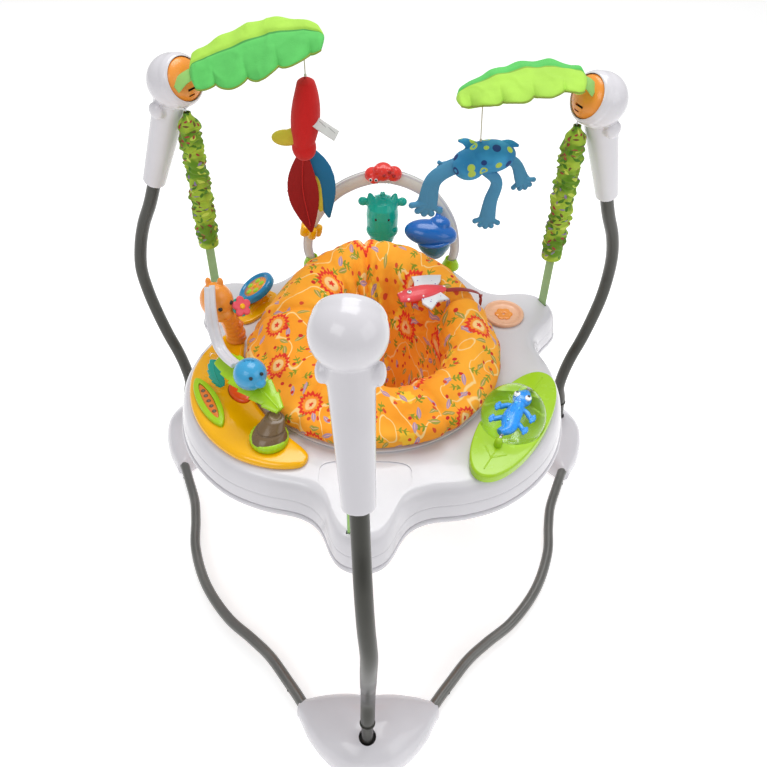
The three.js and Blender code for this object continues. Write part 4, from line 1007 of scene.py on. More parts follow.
# ---- springs, covers and straps ----
def make_hanger(name, azimuth):
    centre = polar(HANGER_RADIUS, azimuth + HANGER_TWIST[name], 0)
    x, y = centre.x, centre.y
    line = [(x, y, HOOK_TOP), (x, y, 752)]
    steps = SPRING_TURNS * SPRING_STEPS
    for k in range(steps + 1):
        turn = tau * k / SPRING_STEPS
        line.append((x + SPRING_RADIUS * cos(turn), y + SPRING_RADIUS * sin(turn),
                     SPRING_TOP - (SPRING_TOP - SPRING_BOTTOM) * k / steps))
    line += [(x, y, 600), (x, y, HOOK_BOTTOM)]
    spring = make("spring_" + name + "_coil", bar(line, 1.3, 10, 420), STEEL, None, "spring_" + name)
    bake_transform(spring)
    rings = []
    levels, sides = 240, 112
    seed = 17.0 * azimuth
    for k in range(levels + 1):
        share = k / levels
        z = COVER_TOP + (COVER_BOTTOM - COVER_TOP) * share
        neck = min(1.0, 7 * share, 8 * (1 - share))
        ring = []
        for i in range(sides):
            turn = tau * i / sides
            cx, cy = cos(turn), sin(turn)
            slow = waves(cx * 0.9 + seed, cy * 0.9, z / 17)
            drift = waves(cx * 0.8, cy * 0.8 + seed, z / 26)
            strength = waves(cx * 1.6 + seed, cy * 1.6, z / 9)
            ripple = sin(z / 1.75 + 7.5 * drift) * (1.3 + 1.6 * strength)
            bunch = sin(z / 4.9 + 6.0 * slow) * 1.7
            wide = clamp(16.4 + (ripple + bunch + 4.2 * slow) * neck, 13.8, 21.4)
            radius = wide + (6.0 - wide) * ease(z, 742, 760)
            ring.append(Vector((x + radius * cx, y + radius * cy, z)))
        rings.append(ring)
    for z, hollow in ((COVER_BOTTOM, COVER_HOLLOW), (741, COVER_HOLLOW), (752, 8.6), (COVER_TOP, 4.4)):
        rings.append([Vector((x + hollow * cos(tau * i / sides),
                              y + hollow * sin(tau * i / sides), z)) for i in range(sides)])
    cover = make("spring_cover_" + name + "_cloth", hoop(rings), COVER_CLOTH, None, "spring_cover_" + name)
    layer = cover.data.uv_layers.new(name="print")
    for face in cover.data.polygons:
        turns = []
        for loop in face.loop_indices:
            place = cover.data.vertices[cover.data.loops[loop].vertex_index].co * 1000 + PART_MIDDLE
            turns.append((atan2(place.y - y, place.x - x), place.z))
        for loop, (turn, z) in zip(face.loop_indices, turns):
            if turn - turns[0][0] > pi:
                turn -= tau
            elif turn - turns[0][0] < -pi:
                turn += tau
            layer.data[loop].uv = (turn * 0.018, z * 0.0016)
    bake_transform(cover)
    strap_line = [(x, y, 588), (x, y, 520), (x, y, 460), (x, y, 402)]
    out = polar(1, azimuth + HANGER_TWIST[name], 0)
    strap = make("strap_" + name + "_webbing", bar(strap_line, (10, 0.9), 16, 60, out), STRAP_CLOTH, "tray",
                 "strap_" + name)
    for k, sign in enumerate((-1, 1)):
        side = Vector((0, 0, 1)).cross(out) * (sign * 7.6)
        make(f"strap_{name}_stitch_{k}",
             bar([Vector(p) + side + out * 0.75 for p in strap_line], 0.35, 6, 40),
             LIME_PALE, "tray")


for post_name, post_azimuth in POSTS.items():
    make_hanger(post_name, post_azimuth)


# ---- tray ----
def tray_azimuths():
    turns = []
    for lobe in (0, 120, 240):
        offset = -60.0
        while offset < 60:
            turns.append(-90 + TRAY_TWIST + lobe + offset)
            offset += 0.5 if abs(offset) < 22 else 1.25
    return turns


def make_tray():
    azimuths = tray_azimuths()
    rings = []
    for azimuth in azimuths:
        rim = rim_radius(azimuth)
        profile = rounded([(TRAY_HOLE_RADIUS, 406), (TRAY_HOLE_RADIUS, TRAY_TOP), (rim - 24, TRAY_TOP),
                           (rim - 14, 426), (rim - 8, 416),
                           (rim - 3.6, 398), (rim - 4.6, 397), (rim - 3.3, 395.8), (rim, TRAY_RIM),
                           (rim - 4.5, TRAY_RIM),
                           (rim - 12, 414), (rim - 25, 426.5), (189.5, 426.5), (189.5, 406)], 5, 4)
        rings.append([polar(p.x, azimuth, p.y) for p in profile])
    top = make("tray_top_shell", hoop(rings), WHITE, None)
    slots = [box(polar(HANGER_RADIUS, azimuth + HANGER_TWIST[name], 425), (4.6, 23, 30),
                 azimuth + HANGER_TWIST[name])
             for name, azimuth in POSTS.items()]
    recess = []
    for k in range(48):
        turn = tau * k / 48
        recess.append((-8 + 66 * copysign(abs(cos(turn)) ** 0.5, cos(turn)),
                       -238 + 27 * copysign(abs(sin(turn)) ** 0.5, sin(turn))))
    carve(top, *slots, slab(recess, 428.4, 436, 0.1, 1), blob(BUBBLE, (51, 51, 51), 64, 36))
    finish_piece(top, WHITE, "tray", "tray_top", False)
    rings = []
    for azimuth in azimuths:
        rim = rim_radius(azimuth)
        profile = rounded([(194, 364), (rim, 364), (rim + 1.8, 366), (rim + 2.5, 369), (rim + 1.8, 372),
                           (rim, 373.7),
                           (rim - 9, 373.7), (198, 368), (198, 400), (194, 400)], 3, 3)
        rings.append([polar(p.x, azimuth, p.y) for p in profile])
    base = make("tray_base_shell", hoop(rings), WHITE, "tray", "tray_base")
    base.data.set_sharp_from_angle(angle=radians(SHARP_ANGLE))
    ring = []
    for k in range(180):
        profile = rounded([(160, 400), (183, 400), (183, ON_TRAY), (197, ON_TRAY), (197, 434), (160, 434)],
                          1.6, 3)
        ring.append([polar(p.x, 2 * k, p.y) for p in profile])
    rim = make("seat_ring_shell", hoop(ring), WHITE, "seat", "seat_ring")


make_tray()


# ---- left play station ----
def jagged_leaf(points, up, half_width, thickness, teeth, segments=72, depth=0.1, rib=0.35):
    """A flat leaf with a toothed edge and a raised middle vein."""
    def size(share):
        tooth = (share * teeth) % 1.0
        return ((half_width * 0.25 + half_width * 0.75 * swell(share, 0.1, 0.88,
                                                               0.8)) * (1 - depth * tooth), thickness)
    vein = [Vector(p) + Vector(up).normalized() * thickness * 0.75 for p in points]
    return merged(bar(points, size, 28, segments, up),
                  bar(vein, (max(1.0, half_width * 0.07), thickness * rib + 0.6), 12, 30, up))


def make_yellow_panel():
    panel = make("yellow_panel_shell",
                 sector_plate(-113, -194, 206, lambda a: rim_radius(a) - 20, ON_TRAY, 442, 3),
                 YELLOW, None)
    carve(panel, slab(lens_outline((-204, -90), (0.57, -0.82), 52, 31, 1), 433, 451, 0.1, 1))
    finish_piece(panel, YELLOW, "tray", "yellow_panel", False)
    frame_lens = lens_outline((-247, -113), (0.49, -0.87), 112, 32, 1.3)
    window = make("panel_window_shell", slab(frame_lens, ON_STATION, 448.2, 2.6), LIME, None)
    carve(window, slab(lens_outline((-247, -113), (0.49, -0.87), 82, 15, 1.25), 444.5, 455, 0.1, 1))
    finish_piece(window, LIME, "tray", "panel_window", False)
    make("panel_window_inlay",
         slab(lens_outline((-247, -113), (0.49, -0.87), 81, 14.4, 1.25), 444.0, 446.6, 1.4),
         ORANGE_DEEP, "tray")
    beads = [blob(Vector((-247, -113, 446.2)) + Vector((0.49, -0.87, 0)) * shift, (3.6, 3.6, 1.8), 20, 10)
             for shift in (-24, -12, 0, 12, 24)]
    make("panel_window_beads", merged(*beads), BROWN, "tray")
    make("panel_button_cap", slab(lens_outline((-204, -90), (0.57, -0.82), 50, 29, 1), 437, 447, 4.5, 8),
         RED_ORANGE, "button", "panel_button")


def make_stump():
    foot = Vector((-148, -184, ON_STATION))
    rings = []
    for z, radius, flute in ((0, 28, 0.0), (2, 28.4, 0.7), (7, 28.6, 1.0), (9.5, 27.8, 0.8),
                             (11.4, 25.6, 0.3), (12, 23, 0)):
        rings.append([foot + polar(radius - flute * (1 - abs(cos(turn * 11))), degrees(turn), z)
                      for turn in (tau * k / 132 for k in range(132))])
    make("stump_grass", loft(rings), LIME, "tray")
    rings = []
    for k in range(41):
        share = k / 40
        middle = foot + Vector((9 * share ** 1.4, 16 * share ** 1.4, 10 + 22 * share))
        groove = 2.6 * exp(-((share - 0.42) / 0.06) ** 2)
        close = sqrt(clamp((1.02 - share) / 0.08))
        wide = (26 - 12 * share - groove) * (0.55 + 0.45 * close)
        rings.append([middle + polar(wide * (1 + 0.05 * cos(turn * 3 + 0.6)), degrees(turn), 0)
                      for turn in (tau * i / 96 for i in range(96))])
    make("stump_trunk", loft(rings), BROWN, "tray", "stump")
    top_place = foot + Vector((9, 16, 31.2))
    make("stump_heart", spun(top_place, (0.1, -0.1, 1),
                             [(0, 9.5), (1.6, 9), (2.2, 6.5), (1.8, 5), (2.4, 3), (2.2, 0)], 48),
         BROWN_PALE, "tray")


def make_long_neck_animal():
    neck_foot = Vector((-226, 34, ON_STATION))
    head = Vector((-240, 4, 545))
    neck_line = [neck_foot, neck_foot + Vector((0, 0, 12)), (-228, 30, 472), (-232, 18, 505), head]
    neck = bar(neck_line, lambda share: (17 - 5 * share) * (0.965 + 0.035 * cos(share * tau * 9)), 32, 110)
    shapes = [neck, blob(head, (25.5, 24, 33), 40, 28, (10, 0, 0)),
              blob(head + Vector((6, -6, -17)), (19, 18, 15), 32, 20)]
    for shift in (-9, 9):
        shapes.append(blob(head + Vector((shift, 4, 32)), (4.6, 4.6, 8.5), 20, 14))
    melt("long_neck_animal_body", shapes, 1.0, ORANGE, "tray", "long_neck_animal", 3)
    face = Vector((0.55, -0.82, 0.1)).normalized()
    for side, place, facing in (("left", (9, -21.8, 1), (0.3, -0.93, 0.2)),
                                ("right", (23, -8.5, 4), (0.9, -0.4, 0.15))):
        make("long_neck_animal_eye_" + side, spun(head + Vector(place), facing, [
            (-3, 3.6), (1.6, 3.4), (3, 2.2), (3.4, 0)], 20), BLACK, "tray")
    make("long_neck_animal_cheek", blob(head + face * 20.5 + Vector((0, 0, -20)), (7, 6, 4.5), 24, 14),
         ORANGE_DEEP, "tray")
    for k in range(3):
        place = neck_foot + Vector((10, -8, 16 + 22 * k))
        make(f"long_neck_animal_spot_{k}", blob(place, (7, 7, 5), 20, 12), ORANGE_DEEP, "tray")


def make_spinner_flower():
    flower = Vector((-203, 2, 536))
    axis = Vector((0.62, -0.5, 0.6)).normalized()
    side = Vector((0, 0, 1)).cross(axis).normalized()
    up = axis.cross(side)
    petals = [spun(flower, axis, [(-3, 9), (-2.2, 10.5), (2.2, 10.5), (3, 9)], 40)]
    under = [spun(flower, axis, [(-3, 8), (-2.6, 9), (0, 9)], 40)]
    for k in range(5):
        turn = tau * k / 5
        place = flower + side * (10 * cos(turn)) + up * (10 * sin(turn))
        petals.append(spun(place, axis, [(-1, 5), (0, 6.6), (1.8, 6.4), (3, 4.6)], 32))
        turn += tau / 10
        place = flower + side * (9.5 * cos(turn)) + up * (9.5 * sin(turn))
        under.append(spun(place, axis, [(-3, 5), (-2.2, 6.2), (-0.6, 6)], 28))
    melt("spinner_flower_petals", petals, 0.7, PINK, "flower", "spinner_flower", 4)
    melt("spinner_flower_scallop", under, 0.7, TEAL, "flower", (), 3)
    make("spinner_flower_middle", spun(flower, axis, [(2.4, 4.4), (4.0, 4.2), (4.8, 2.6), (5.0, 0)], 28),
         YELLOW, "flower")


def make_left_arch():
    arch_line = [(-241, -18, 590), (-240, -37, 562), (-237, -50, 532), (-229, -64, 511), (-216, -82, 508),
                 (-200, -101, 511)]
    rails = []
    for sign in (-1, 1):
        rails.append(bar([Vector(p) + Vector((3.4, 2.2, 0)) * sign for p in arch_line],
                         lambda share: 4.3 + 0.9 * (1 - abs(2 * share - 1)), 20, 80))
    melt("arch_left_bar", rails, 0.9, WHITE, "tray", "arch_left", 2)


def make_lime_leaf():
    leaf_line = [(-230, -66, 492), (-201, -96, 496), (-166, -130, 495), (-131, -166, 485)]
    make("lime_leaf_blade", jagged_leaf(leaf_line, (-0.1, -0.35, 0.93), 25, 3.2, 6, 140, 0.17), LIME,
         "tray", "lime_leaf")
    bird = Vector((-174, -132, 523))
    look = Vector((0.55, -0.78, 0.28)).normalized()
    shapes = [blob(bird, (24, 24, 23), 44, 28), blob(bird + Vector((15, -14, -3)), (9, 9, 7), 28, 18)]
    melt("bird_head_ball", shapes, 1.0, SKY, "tray", "bird_head", 4)
    eye_pair("bird_head_eye", bird + look * 22.4 + Vector((0, 0, 6)), look, 8.5, 2.6, "tray")
    make("bird_head_tuft",
         merged(*[bar([bird + Vector((x, 3, 20)), bird + Vector((x * 1.5, 5, 24.4))], 2.0, 12, 6)
                                    for x in (-4, 0, 4)]), SKY, "tray")


def make_teal_leaf():
    pendant_line = [(-241, -61, 483), (-241, -70, 472), (-236, -80, 461), (-229, -88, 452)]
    make("teal_leaf_blade", jagged_leaf(pendant_line, (-0.5, -0.7, 0.6), 16.5, 2.2, 6, 80, 0.2), TEAL,
         "leaf_pendant", "teal_leaf")
    make("teal_leaf_link", chain_link((-242, -59, 489), 6, 6, 1.3, 32), CLEAR, "tray")


make_yellow_panel()
make_stump()
make_long_neck_animal()
make_spinner_flower()
make_left_arch()
make_lime_leaf()
make_teal_leaf()


def make_roller():
    centre = Vector((-205, 144, 460.6))
    axis = Vector((-0.51, 0, 0.86)).normalized()
    foot = centre - axis * 29
    shapes = [slab(lens_outline((-206, 126), (0.5, 0.86), 96, 46, 0.6), ON_TRAY, 437, 3, 6),
              bar([foot, centre - axis * 5], lambda share: 7.4 - 1.6 * share, 28, 12)]
    for sign in (-1, 1):
        arm = Vector((0.5, 0.86, 0)) * (sign * 30)
        shapes.append(bar([Vector((-199, 130, 435)) + arm, Vector((-200, 134, 438)) + arm * 0.5,
                           foot + Vector((0, 0, 5))],
                          (4.2, 4.6), 16, 16))
    melt("roller_base_bridge", shapes, 1.0, YELLOW, "tray", "roller_base", 4)
    make("roller_base_pin", spun(centre - axis * 8, axis, [(0, 3), (14, 3), (15, 2.2), (15.2, 0)], 20),
         YELLOW, "tray")
    make("roller_wheel_ring", spun(centre, axis, rounded_open([
        (-3.6, 22), (-5, 24.5), (-7, 26.5), (-7, 30), (-4.5, 34), (4.5, 34), (7, 30), (7, 26.5), (5, 24.5),
        (3.6, 22)]), 72),
        BLUE_RING, "roller", "roller_wheel")
    make("roller_wheel_disc",
         spun(centre, axis, [(-4, 3.5), (-4, 12), (-3.8, 23.4), (3.8, 23.4), (4.4, 12), (4, 3.5)], 48),
         ORANGE, "roller")
    side = Vector((0, 1, 0)).cross(axis).normalized()
    beads = []
    for k in range(5):
        turn = tau * k / 5
        place = centre + side * (13.6 * cos(turn)) + axis.cross(side) * (13.6 * sin(turn))
        beads.append(spun(place, axis, [(3, 5.6), (4.8, 5.4), (6, 3.8), (6.3, 0)], 20))
    make("roller_wheel_studs", merged(*beads), LIME, "roller")


make_roller()


# ---- right play station ----
def make_leaf_cradle():
    cradle = make("leaf_cradle_shell", slab(lens_outline((212, -140), (0.498, 0.867), 240, 92, 0.95, 96),
                                            ON_TRAY, 444, 4, 6), LIME_PALE, None)
    carve(cradle, blob(BUBBLE, (49.6, 49.6, 49.6), 64, 36))
    finish_piece(cradle, LIME_PALE, "tray", "leaf_cradle", False)
    for k, sign in enumerate((-1, 1)):
        place = BUBBLE + BUBBLE_AXLE * (sign * 56)
        make(f"leaf_cradle_lug_{k}", spun((place.x, place.y, 433), (0, 0, 1), [
            (0, 6.4), (18, 5.8), (23, 4.6), (25, 2.4), (25.3, 0)], 28), LIME_PALE, "tray")
    veins = []
    for shares in ((-108, 0, -64, 0), (-84, 0, -68, 17), (-84, 0, -68, -17), (62, 0, 106, 0)):
        ends = [Vector((212 + 0.498 * along - 0.867 * across, -140 + 0.867 * along + 0.498 * across, 443.8))
                for along, across in (shares[:2], shares[2:])]
        veins.append(bar([ends[0], (ends[0] + ends[1]) / 2, ends[1]], (1.3, 0.9), 10, 16, (0, 0, 1)))
    make("leaf_cradle_veins", merged(*veins), LIME, "tray")


def make_bubble():
    shell = merged(blob(BUBBLE, (BUBBLE_RADIUS,) * 3, 72, 44))
    ball = make("bubble_shell", shell, CLEAR, "bubble_body", "bubble")
    ball.visible_shadow = False
    seam_ring = hoop([[BUBBLE + (BUBBLE_AXLE * cos(a) + Vector((0, 0,
                                                                1)) * sin(a)) * (BUBBLE_RADIUS + 0.5 * cos(b))
                       + BUBBLE_AXLE.cross(Vector((0, 0, 1))) * (0.5 * sin(b))
                       for b in (tau * j / 8 for j in range(8))]
                       for a in (tau * i / 96 for i in range(96))])
    seam = make("bubble_seam", seam_ring, CLEAR, "bubble_body")
    seam.visible_shadow = False
    bowl_profile = [(-49.8 * cos(radians(a)), 49.8 * sin(radians(a))) for a in range(0, 68, 4)]
    bowl_profile += [(z + 0.9, r) for z, r in bowl_profile[::-1]]
    make("leaf_cradle_bowl", spun(BUBBLE, (0, 0, 1), bowl_profile, 72), LIME_PALE, "tray")
    make("bubble_axle_rod", spun(BUBBLE - BUBBLE_AXLE * 55, BUBBLE_AXLE, [
        (0, 1.6), (0.8, 2.3), (109.2, 2.3), (110, 1.6)], 24), STEEL, "bubble_body", "bubble_axle")


def make_lizard():
    across = Vector((-BUBBLE_AXLE.y, BUBBLE_AXLE.x, 0))

    def at(forward, sideways, rise):
        return BUBBLE + BUBBLE_AXLE * forward + across * sideways + Vector((0, 0, rise))

    shapes = [
        bar([at(-41, 5, 1), at(-27, -3, 1), at(-8, 0, 2), at(12, 0, 2), at(26, 0, 3)],
            lambda share: (2.4 + 10 * swell(share, 0.1, 0.8), 7 - 3 * abs(share - 0.6)), 24, 60, (0, 0, 1)),
        blob(at(29, 0, 3), (12, 12, 8), 32, 18), blob(at(36, 0, 2), (8, 8, 5.5), 28, 16),
    ]
    for forward, sign in ((-15, -1), (-15, 1), (10, -1), (10, 1)):
        shapes.append(bar([at(forward, 0, 1), at(forward + 4, sign * 11, 0),
                           at(forward - 2, sign * 21, -2)], 3.6, 16, 20))
        for spread in (-6, -2, 2, 6):
            tip = at(forward - 2 + spread, sign * (27 - abs(spread) * 0.5), -2)
            shapes.append(bar([at(forward - 2, sign * 20, -2), tip], 1.7, 12, 6))
            shapes.append(blob(tip, (2.4, 2.4, 2.0), 12, 8))
    melt("lizard_body", shapes, 0.8, LIZARD_BLUE, "bubble_body", "lizard", 2)
    for k, sign in enumerate((-1, 1)):
        make(f"lizard_eye_white_{k}", blob(at(29, sign * 7.4, 9.0), (4.4, 4.4, 3.2), 24, 14), EYE_WHITE,
             "bubble_body")
        make(f"lizard_pupil_{k}", blob(at(30, sign * 7.8, 11.2), (2.2, 2.2, 1.6), 16, 10), BLACK,
             "bubble_body")
    make("lizard_spots", merged(*[blob(at(f, s, 8.2 - abs(s) * 0.35), (2.6, 2.6, 1.2), 16, 8)
                                  for f, s in ((-18, 1), (-9, -3), (0, 3), (9, -3), (17, 3))]), SKY,
                                  "bubble_body")


def make_round_dish():
    make("round_dish_shell", spun((222, 118, ON_TRAY), (0, 0, 1), rounded_open([
        (0, 30), (0, 34), (5, 35), (7, 33), (7, 30), (2.8, 25), (2.4, 10), (2.4, 0)]), 80), PEACH, "tray",
        "round_dish")
    petal_shapes = [blob(Vector((222, 118, 433.4)) + polar(9, 60 * k, 0), (7, 7, 1.6), 24, 10)
                    for k in range(6)]
    melt("round_dish_flower", petal_shapes, 0.8, ORANGE, "tray", (), 3)


make_leaf_cradle()
make_bubble()
make_lizard()
make_round_dish()


# ---- rear arch and its toys ----
def make_rear_arch():
    make("arch_rear_band", bar(ARCH_LINE, lambda share: (6.4 + 5 * sin(pi * share), 6), 28, 160, (0, 1, 0)),
         WHITE_WARM, "tray", "arch_rear")
    rails = []
    for lift in (-3.4, 3.4):
        rails.append(bar([Vector(p) + Vector((0, lift, 0)) for p in ARCH_LINE],
                         lambda share: (7 + 5 * sin(pi * share), 1.1), 16, 140, (0, 1, 0)))
    make("arch_rear_ridges", merged(*rails), WHITE, "tray")
    for name, x in (("arch_socket_left", -118), ("arch_socket_right", 137)):
        make(name + "_cup", spun((x, ARCH_Y, ON_TRAY), (0, 0, 1), rounded_open([
            (0, 15), (0, 16), (5, 16), (16, 11), (19.7, 10.5), (19.7, 8.5), (12, 8.5)]), 48), LIME, "tray",
            name)


def make_bug_clip():
    middle = Vector((10, ARCH_Y - 4, 626))
    lumps = [(-17, -4, -3, 14), (0, -3, 2, 17), (18, -2, -2, 14), (-15, -11, -6, 10), (10, -9, 7, 9),
             (-8, -9, 8, 9)]
    shapes = [blob(middle + Vector((x, y, z)), (size, size, size * 0.9), 32, 20) for x, y, z, size in lumps]
    melt("bug_clip_shell", shapes, 1.1, RED, "tray", "bug_clip", 4)
    eye_pair("bug_clip_eye", middle + Vector((-16, -20.8, -4)), (-0.1, -0.95, 0.2), 4.6, 2.0, "tray", True)
    spots = [blob(middle + Vector(p), (3.2, 1.8, 3.2), 16, 10)
             for p in ((2, -19.4, 4), (18, -15.2, 1), (11, -17.2, 9))]
    make("bug_clip_spots", merged(*spots), DARK_RED_PLASTIC, "tray")


def make_hippo():
    links = [chain_link((10 + 9 * sign, ARCH_Y - 6, 592), 8, 13, 1.4, 40) for sign in (-1, 1)]
    make("hippo_links", merged(*links), CLEAR, "tray")

    y = ARCH_Y
    shapes = [
        spun((10, y - 5, 488), (0, 0, 1), [
            (0, 12), (1, 17), (6, 21), (20, 25), (38, 27.5), (58, 28), (74, 26), (85, 20), (91, 9)], 64),
        blob((10, y - 14, 519), (28, 17, 20), 44, 26),
        bar([(10, y - 2, 560), (10, y - 2, 585)], 4.6, 20, 8),
    ]
    for sign in (-1, 1):
        shapes.append(bar([(10 + sign * 17, y - 2, 562), (10 + sign * 26, y - 2, 566),
                           (10 + sign * 32, y - 2, 568)],
                          lambda share: 6.4 - 0.8 * share, 20, 16))
        shapes.append(blob((10 + sign * 34, y - 2, 568), (8.5, 7, 8), 24, 16))
        shapes.append(spun((10 + sign * 17, y - 4, 566), (sign * 0.3, 0, 1),
                           [(0, 10), (10, 8), (19, 2.8), (20.6, 0)], 24))
    melt("hippo_shell", shapes, 1.0, TEAL_BRIGHT, "hippo_body", "hippo", 3)
    eye_pair("hippo_eye", (10, y - 30.0, 549), (0, -0.98, 0.18), 10.5, 2.6, "hippo_body")
    make("hippo_nostrils",
         merged(*[blob((10 + sign * 9, y - 28.8, 528), (2.4, 1.4, 1.8), 16, 10) for sign in (-1, 1)]),
         TEAL, "hippo_body")


def make_drop_toy():
    y = ARCH_Y
    upper = [blob((94, y - 42, 532), (46, 27, 22), 48, 28, (0, 8, 0)),
             blob((108, y - 35, 545), (20, 18, 14), 32, 20),
             bar([(102, y - 34, 546), (106, y - 22, 558), (110, y - 12, 564)], 4.6, 20, 12)]
    melt("drop_toy_cap", upper, 1.2, BLUE, "drop_body", "drop_toy", 4)
    make("drop_toy_cone", spun((100, y - 41, 524), (0.1, 0, -1), rounded_open([
        (0, 20), (2, 31.5), (18, 28), (38, 14), (44, 5), (46, 0)]), 64), BLUE_TEAL, "drop_body")
    make("drop_toy_lip",
         spun((99.6, y - 41, 526), (0.1, 0, -1), [(0, 26), (0.6, 32.4), (3, 33), (5, 32), (5.4, 26)], 64),
         BLUE, "drop_body")


def make_rear_flower():
    axis = Vector((0.22, 0, 1)).normalized()
    bead_middle = Vector((-117, ARCH_Y, 508))
    side = Vector((1, 0, 0)) - axis * axis.x
    side.normalize()
    front = axis.cross(side)
    shapes = []
    for k in range(5):
        turn = tau * k / 5
        place = bead_middle + side * (13 * cos(turn)) + front * (13 * sin(turn))
        shapes.append(spun(place, axis, [(-11, 4), (-9, 7.2), (0, 8), (9, 7.2), (11, 4)], 28))
    bead = melt("rear_flower_petals", shapes, 1.0, YELLOW, None, (), 4)
    carve(bead, rod(bead_middle - axis * 20, bead_middle + axis * 20, 10))
    finish_piece(bead, YELLOW, "bead", "rear_flower", False)


DARK_RED_PLASTIC = plastic("dark_red_plastic", (0.42, 0.01, 0.01), 0.25, 0.4)
TEAL_BRIGHT = plastic("teal_bright_plastic", (0.004, 0.50, 0.40), 0.2, 0.5)
make_rear_arch()
make_bug_clip()
make_hippo()
make_drop_toy()
make_rear_flower()


# ---- padded swivel seat ----
def well_reach(azimuth):
    """How far the edge of the seat's off-centre well is from the seat axis."""
    x, y = cos(radians(azimuth)), sin(radians(azimuth))
    along = WELL_CENTRE[0] * x + WELL_CENTRE[1] * y
    return along + sqrt(along ** 2 + WELL_RADIUS ** 2 - WELL_CENTRE[0] ** 2 - WELL_CENTRE[1] ** 2)


SEAT_SEAMS = (98, 172, 236, 304, 24)
SEAT_FOLDS = ((26, 5.0), (41, 6.5), (57, 5.5), (73, 6.5), (86, 4.5), (98, 9.0), (113, 5.0), (131, 6.0),
              (150, 4.5),
              (205, 4.0), (262, 4.5), (330, 4.5))


def seat_profile(azimuth):
    """The cushion cut in half: from under its outer edge, over the crest and down the well."""
    back = 0.5 + 0.5 * cos(radians(azimuth - SEAT_BACK_AZIMUTH))
    crest = 478 + 86 * back ** 1.7
    inner = well_reach(azimuth)
    outer = SEAT_RADIUS
    rise = crest - 436
    span = outer - inner
    top = [
        (inner + 12, 431.5), (153, 432.5), (158, 435), (outer - 30, 435), (outer - 14, 435.5),
        (outer - 3, 441), (outer, 452), (outer - 5, 464),
        (outer - 0.20 * span, 436 + 0.74 * rise), (outer - 0.42 * span, crest),
        (inner + 0.3 * span, 436 + 0.97 * rise),
        (inner + 0.1 * span, 436 + 0.68 * rise), (inner, 446), (inner + 1, 420), (inner + 1, 350),
        (inner - 12, 300),
        (inner * 0.45, 268)]
    return [Vector((0, r, z)) for r, z in top], inner


